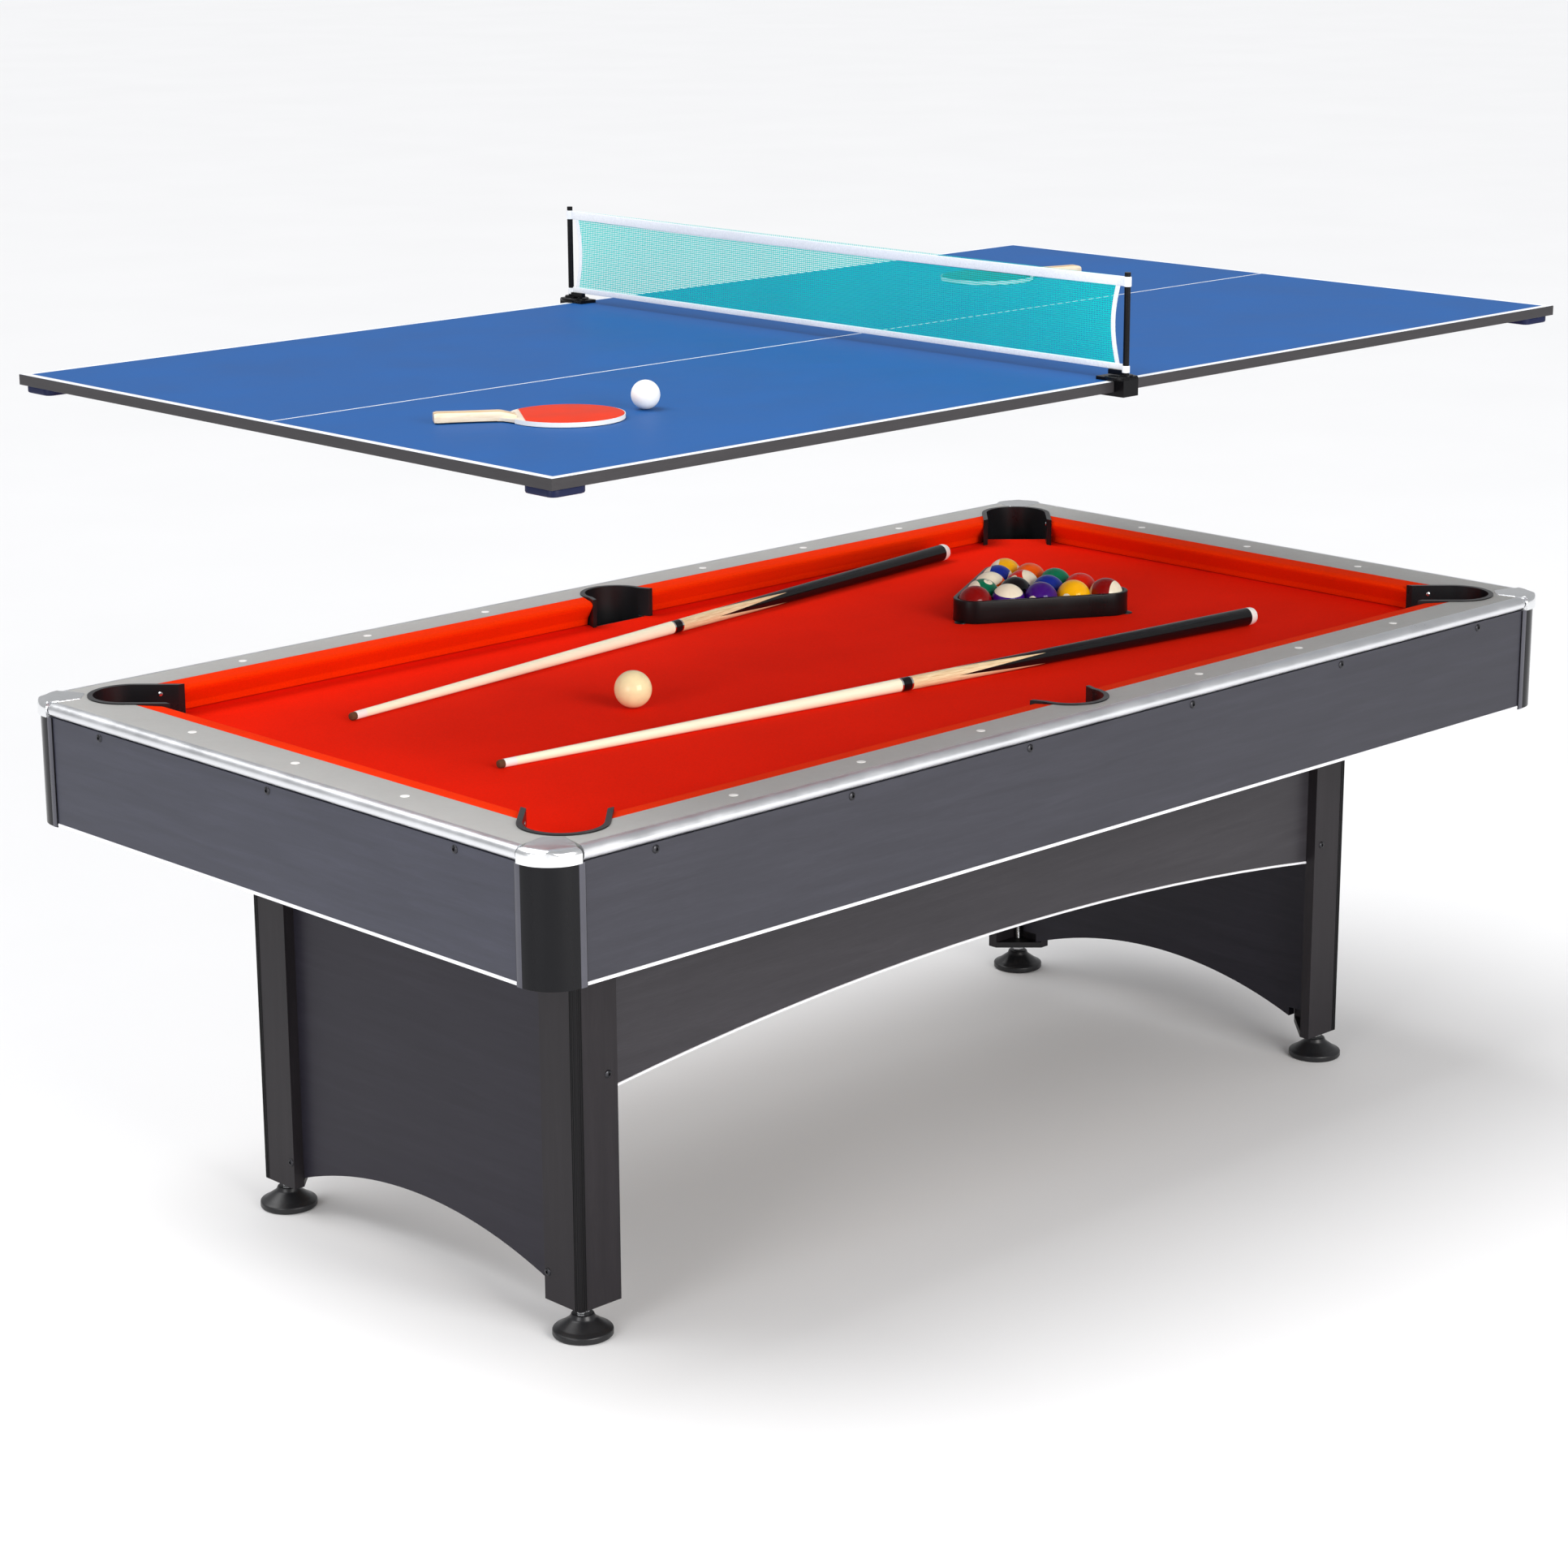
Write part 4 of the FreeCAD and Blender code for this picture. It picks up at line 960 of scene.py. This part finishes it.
def object_balls():
    low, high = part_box("object_balls")
    apex = Vector((low.x + BALL_RADIUS, (low.y + high.y) / 2, low.z + BALL_RADIUS))
    step = (high.x - low.x - 2 * BALL_RADIUS) / 4
    pitch = (high.y - low.y - 2 * BALL_RADIUS) / 4
    colours = {key: resin("resin_" + key, srgb(*value)) for key, value in BALL_COLOURS.items()}
    white = resin("resin_white", srgb(238, 230, 204))
    ink = plastic("ball_ink", srgb(20, 20, 22), variation=0.05)
    seats = [(row, seat) for row in range(5) for seat in range(row + 1)]
    for (row, seat), (number, colour, stripe, number_side) in zip(seats, RACK_ORDER):
        name = "ball_%02d" % number
        centre = apex + Vector((row * step, (seat - row / 2) * pitch, 0))
        axis = seen_from_front_left(stripe).normalized()
        pair = [white if number > LAST_SOLID else colours[colour], colours[colour]]
        ball(name, centre, axis, "racked_balls", pair, "object_balls")
        side = seen_from_front_left(number_side)
        side -= axis * side.dot(axis)
        discs = [number_disc(centre, side * sign, axis) for sign in (1, -1)]
        marks = [digits(str(number), centre, side * sign, axis) for sign in (1, -1)]
        build(name + "_disc", discs, "racked_balls", white, angle=60)
        build(name + "_number", marks, "racked_balls", ink, angle=60)


def cue_ball():
    low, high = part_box("cue_ball")
    ivory = resin("resin_ivory", srgb(240, 226, 176))
    pair = [ivory, ivory]
    ball("cue_ball_resin", (low + high) / 2, (0.3, 0.2, 1), "cue_ball", pair, "cue_ball")


def rack():
    """Moulded triangle with a thickened rim and a lug at each corner."""
    low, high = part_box("ball_rack")
    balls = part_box("object_balls")
    radius = BALL_RADIUS + 0.6 * MM
    wall = 7 * MM
    first = Vector((balls[0].x + BALL_RADIUS, (balls[0].y + balls[1].y) / 2))
    reach = balls[1].x - balls[0].x - 2 * BALL_RADIUS
    half = (balls[1].y - balls[0].y) / 2 - BALL_RADIUS
    corners = [first, first + Vector((reach, -half)), first + Vector((reach, half))]
    path = []
    for i, corner in enumerate(corners):
        before = (corner - corners[i - 1]).normalized()
        after = (corners[(i + 1) % 3] - corner).normalized()
        start = Vector((before.y, -before.x))
        turn = atan2(before.x * after.y - before.y * after.x, before.dot(after))
        for k in range(13):
            p = corner + Matrix.Rotation(turn * k / 12, 2) @ start * (radius + wall / 2)
            path.append(Vector((p.x, p.y, low.z)))
    tall = high.z - low.z
    w = wall / 2
    section = [(-w, 0), (w, 0), (w * 0.9, tall / 2), (w, tall), (-w, tall), (-w * 0.9, tall / 2)]
    parts = [bar(path, fillet(section, 1.4 * MM, 3), closed=True)]
    middle = (corners[0] + corners[1] + corners[2]) / 3
    lug = lathe([(0, low.z + 3 * MM), (7 * MM, low.z + 2.6 * MM), (11 * MM, low.z + 1.2 * MM),
                 (11.5 * MM, low.z), (0, low.z)], 32)
    for corner in corners:
        spot = corner + (corner - middle).normalized() * (radius + wall * 0.6)
        parts.append(moved(lug, spot.x, spot.y))
    black = plastic("rack_plastic", srgb(13, 12, 13), 0.3, bump=0.1, gloss=0.2)
    build("rack_frame", parts, "racked_balls", black, "ball_rack", 40)


# ---- cues ----
def pointed_wood():
    """A forearm's pale wood, running into four black points."""
    g = Graph("cue_points", coat_weight=0.2, coat_roughness=0.04, specular_ior_level=0.25)
    x, y, z = g.xyz(g.node("TexCoord", output=OBJECT_COORDS))
    angle = g.math("ADD", g.math("ARCTAN2", y, z), pi)
    sharp = g.math("DIVIDE", g.math("PINGPONG", angle, pi / 4), pi / 4)
    black = g.math("GREATER_THAN", x, g.spread(sharp, 0.84, 1.02, 0.0, 1.0))
    grain = g.noise(30.0, ALONG_X, detail=5.0, roughness=0.6, distortion=0.6)
    wood = g.fade(grain, srgb(214, 182, 134), srgb(244, 230, 188))
    g.colour(g.mix(black, wood, srgb(12, 12, 14)))
    g.rough(grain, 0.12, 0.2, 0.0, 1.0)
    return g.material


CUE = {
    "points": pointed_wood(),
    "maple": timber("cue_maple", srgb(250, 250, 220), ALONG_X, 0.22, 0.3, 0.05),
    "leather": timber("cue_tip_leather", srgb(92, 58, 34), PLAIN, 0.8, contrast=0.2),
    "ferrule": plastic("cue_ferrule", srgb(244, 242, 236), 0.25, variation=0.03),
    "ring": metal("cue_ring", (0.8, 0.8, 0.78, 1), 0.15),
    "black": plastic("cue_collar", srgb(14, 14, 16), 0.2, coat=0.2, gloss=0.2),
    "cap": plastic("cue_cap", srgb(232, 230, 224), 0.3, variation=0.03),
}


def cue_stretch(start, end, count=8, grow=0.0):
    """(distance from the tip, radius) down a cue's taper."""
    places = [start + (end - start) * k / count for k in range(count + 1)]
    return [(s, TIP_RADIUS + (BUTT_RADIUS - TIP_RADIUS) * s / BUTT_AT + grow * MM) for s in places]


def cue(node):
    """Two-piece cue built along its own X axis, then laid where the frame holds it."""
    along = Vector(next(j for j in frame["joints"] if j["child"] == node)["axis"]).normalized()
    low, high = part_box(node)
    forward = along.y > 0
    rise = atan2(BUTT_RADIUS - TIP_RADIUS, BUTT_AT)
    clearance = 0.3 * MM
    start = Vector((low.x + 0.9 * MM, low.y + TIP_RADIUS if forward else high.y - TIP_RADIUS,
                    CLOTH_TOP + clearance + TIP_RADIUS / cos(rise)))
    heading = Matrix.Rotation(atan2(along.y, along.x), 4, "Z")
    place = Matrix.Translation(start) @ heading @ Matrix.Rotation(-rise, 4, "Y")
    lay = Matrix.Rotation(pi / 2, 4, "Y")
    tip = [(0.0, 3.0 * MM), (0.001, 5.0 * MM), (0.0035, 6.0 * MM), (0.010, 6.1 * MM)]
    cap = [(1.464, 14.5 * MM), (1.466, 14.6 * MM), (1.473, 14.3 * MM), (1.4775, 12.8 * MM), (1.48, 9.5 * MM)]
    for suffix, points, material in (
            ("tip", tip, "leather"),
            ("ferrule", cue_stretch(0.010, 0.030, 2), "ferrule"),
            ("shaft", cue_stretch(0.030, 0.729), "maple"),
            ("shaft_ring", cue_stretch(0.729, 0.732, 1, 0.1), "ring"),
            ("collar", cue_stretch(0.732, 0.748, 2, 0.15), "black"),
            ("butt_ring", cue_stretch(0.748, 0.751, 1, 0.1), "ring"),
            ("forearm", cue_stretch(0.751, 1.464, 24), "points"),
            ("butt_cap", cap, "cap")):
        profile = [(0, points[0][0])] + [(r, s) for s, r in points] + [(0, points[-1][0])]
        build(node + "_" + suffix, [placed(lathe(profile, 40), lay)], node, CUE[material],
              node if suffix == "tip" else None, 30, place)


# ---- paddles and table-tennis ball ----
def laminated_handle():
    """Pale and tan strips of wood glued side by side."""
    g = Graph("paddle_handle", coat_weight=0.15, coat_roughness=0.06, specular_ior_level=0.4)
    across = g.math("ABSOLUTE", g.xyz(g.node("TexCoord", output=OBJECT_COORDS))[1])
    outer = g.math("GREATER_THAN", across, 8.5 * MM)
    middle = g.math("LESS_THAN", across, 3.0 * MM)
    grain = g.noise(40.0, (1, 10, 10), detail=5.0, roughness=0.6, distortion=0.5)
    pale = g.fade(grain, srgb(226, 204, 170), srgb(242, 228, 202))
    tan_wood = g.fade(grain, srgb(190, 144, 94), srgb(216, 176, 126))
    g.colour(g.mix(g.math("MAXIMUM", outer, middle), tan_wood, pale))
    g.rough(grain, 0.3, 0.42, 0.0, 1.0)
    return g.material


def rubber_sheet(name, base):
    """Dull rubber with a fine pimple."""
    g = Graph(name, specular_ior_level=0.16)
    smear = g.noise(20.0, detail=4.0)
    g.tint(smear, base, 0.9, 1.08)
    g.rough(smear, 0.42, 0.6, 0.0, 1.0)
    g.bump(g.node("TexVoronoi", Vector=g.coords(), Scale=420.0, Randomness=0.0), 0.25, 0.2)
    return g.material


PADDLE = {
    "ply": timber("paddle_ply", srgb(226, 214, 196), (12, 12, 40), 0.45, contrast=0.08),
    "handle": laminated_handle(),
    "tape": plastic("paddle_tape", srgb(236, 236, 232), 0.5, variation=0.03),
    "red": rubber_sheet("rubber_red", srgb(214, 46, 0)),
    "black": rubber_sheet("rubber_black", srgb(30, 32, 34)),
}


def handle_shell(bottom, top):
    """A waisted handle with squarish sections, thinned where it runs onto the blade."""
    start, length = 68 * MM, 110 * MM
    rings = []
    for k in range(25):
        t = k / 24
        waist = (12.5 + 3.5 * (2 * t - 0.9) ** 2) * MM
        flare = min(1.0, 0.35 + t * 3.5)
        close = 1.0 if t < 0.97 else 0.88
        ring = []
        for a in turn_angles(28):
            c, s = cos(a), sin(a)
            shape = (abs(c) ** 4 + abs(s) ** 4) ** -0.25
            height = top + 8.3 * MM * s * shape * flare * close
            ring.append((start + length * t, waist * c * shape * close, max(bottom, height)))
        rings.append(ring)
    return loft(rings)


def paddle(colour, centre, handle_way):
    """Plywood blade, a rubber on each face with a taped edge, and a wooden handle."""
    node = "paddle_" + colour
    turn = atan2(handle_way[1], handle_way[0])
    place = Matrix.Translation((*centre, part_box(node)[0].z)) @ Matrix.Rotation(turn, 4, "Z")
    ply, ply_top, face = 1.3 * MM, 5.9 * MM, 7.2 * MM
    open_angle = 0.42
    blade = []
    for k in range(97):
        t = open_angle + (2 * pi - 2 * open_angle) * k / 96
        blade.append(Vector((79 * MM * cos(t), 75 * MM * sin(t))))
    neck = [(80, 21.5), (86.5, 14.5), (94, 12.8)]
    neck = [(x, -y) for x, y in neck] + neck[::-1]
    outline = blade + [Vector((x * MM, y * MM)) for x, y in neck]
    sheet = [p * 0.985 for p in blade if p.x < 62 * MM]
    path = [(p.x, p.y, face / 2) for p in blade]
    reach = face / 2 - 0.5 * MM
    tape = [(-0.25 * MM, -reach), (0.4 * MM, -reach), (0.4 * MM, reach), (-0.25 * MM, reach)]
    for name, part, material, slot in (
            ("blade", slab(outline, ply, ply_top, 0.4, 0.4), "ply", "cue_wood"),
            ("rubber_under", slab(sheet, 0.0, ply, 0.1, 0.3), "black", "paddle_black"),
            ("rubber_face", slab(sheet, ply_top, face, 0.4, 0.1), colour, node),
            ("edge_tape", bar(path, tape), "tape", "line_white"),
            ("handle", handle_shell(ply, ply_top), "handle", "cue_wood")):
        build(node + "_" + name, [part], node, PADDLE[material], node if name == "blade" else None, 40,
              place)


def tennis_ball():
    """A celluloid shell with a faint groove round its seam."""
    low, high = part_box("tennis_ball")
    radius = (high.z - low.z) / 2
    profile = []
    for a in [-pi / 2 + pi * k / 32 for k in range(33)]:
        r = radius - 0.06 * MM * exp(-(a / 0.03) ** 2)
        profile.append((r * cos(a), r * sin(a)))
    shell = facing(lathe(profile), (low + high) / 2, (0.5, 0.2, 0.8))
    celluloid = plastic("celluloid", srgb(244, 243, 238), 0.42, grain=1500.0, bump=0.06, variation=0.02)
    build("tennis_ball_shell", [shell], "tennis_ball", celluloid, "tennis_ball", 60)


# ---- stage, light and camera ----
def aimed(name, data, place, direction, roll=0.0):
    """A lamp or camera at a place, looking along a direction."""
    holder = added(name, data)
    holder.location = place
    holder.rotation_mode = "QUATERNION"
    holder.rotation_quaternion = direction.to_track_quat("-Z", "Y") @ Quaternion((0, 0, 1), roll)
    return holder


def softbox(name, place, size, power, colour):
    """A square area light aimed at the middle of the table."""
    light = bpy.data.lights.new(name, "AREA")
    light.shape = "SQUARE"
    light.size = size
    light.energy = power
    light.color = colour
    aimed(name, light, place, Vector((0, 0, 0.8)) - Vector(place))


def stage():
    """A plain pale floor under soft studio light."""
    size = 60.0
    corners = [(-size, -size, 0), (size, -size, 0), (size, size, 0), (-size, size, 0)]
    floor = mesh_object("floor", [(corners, [[0, 1, 2, 3]])])
    g = Graph("floor", specular_ior_level=0.2, roughness=0.6)
    g.colour(g.fade(g.noise(1.3, detail=3.0), (0.815, 0.815, 0.82, 1), (0.83, 0.83, 0.835, 1)))
    floor.data.materials.append(g.material)
    world = bpy.data.worlds.new("studio")
    bpy.context.scene.world = world
    world.use_nodes = True
    background = world.node_tree.nodes["Background"]
    background.inputs["Color"].default_value = (0.97, 0.98, 1.0, 1)
    background.inputs["Strength"].default_value = 0.47
    overhead = bpy.data.lights.new("overhead", "SUN")
    overhead.energy = 2.5
    overhead.angle = radians(50)
    aimed("overhead", overhead, (0, 0, 0), Vector((0.28, -0.38, -1.0)))
    softbox("front", (-0.6, -5.4, 2.5), 3.0, 250, (1.0, 0.98, 0.96))
    softbox("left", (-5.6, -1.2, 2.0), 2.4, 95, (0.99, 0.99, 1.0))


def camera():
    """A long lens from the front left corner, a little above the table."""
    azimuth = radians(-44.15)
    elevation = radians(15.31)
    roll = radians(-0.27)
    target = Vector((-0.092, 0.007, 0.591))
    distance = 5.745
    back = Vector((sin(azimuth) * cos(elevation), -cos(azimuth) * cos(elevation),
                   sin(elevation)))
    lens = bpy.data.cameras.new("camera")
    lens.sensor_width = 36.0
    lens.lens = 84.31
    lens.clip_end = 200
    bpy.context.scene.camera = aimed("camera", lens, target + back * distance, -back, roll)
    bpy.context.scene.view_settings.view_transform = "Standard"


dress_cad_nodes()
corner_caps()
post_edges()
strip_ribs()
bed_cloth()
sights()
bolts()
pocket_screws()
levelling_feet()
court_lines()
net()
object_balls()
cue_ball()
rack()
cue("cue_front")
cue("cue_back")
paddle("red", (-0.762, -0.268), (-0.131, 0.090))
paddle("black", (0.668, 0.287), (0.122, -0.040))
tennis_ball()
stage()
camera()
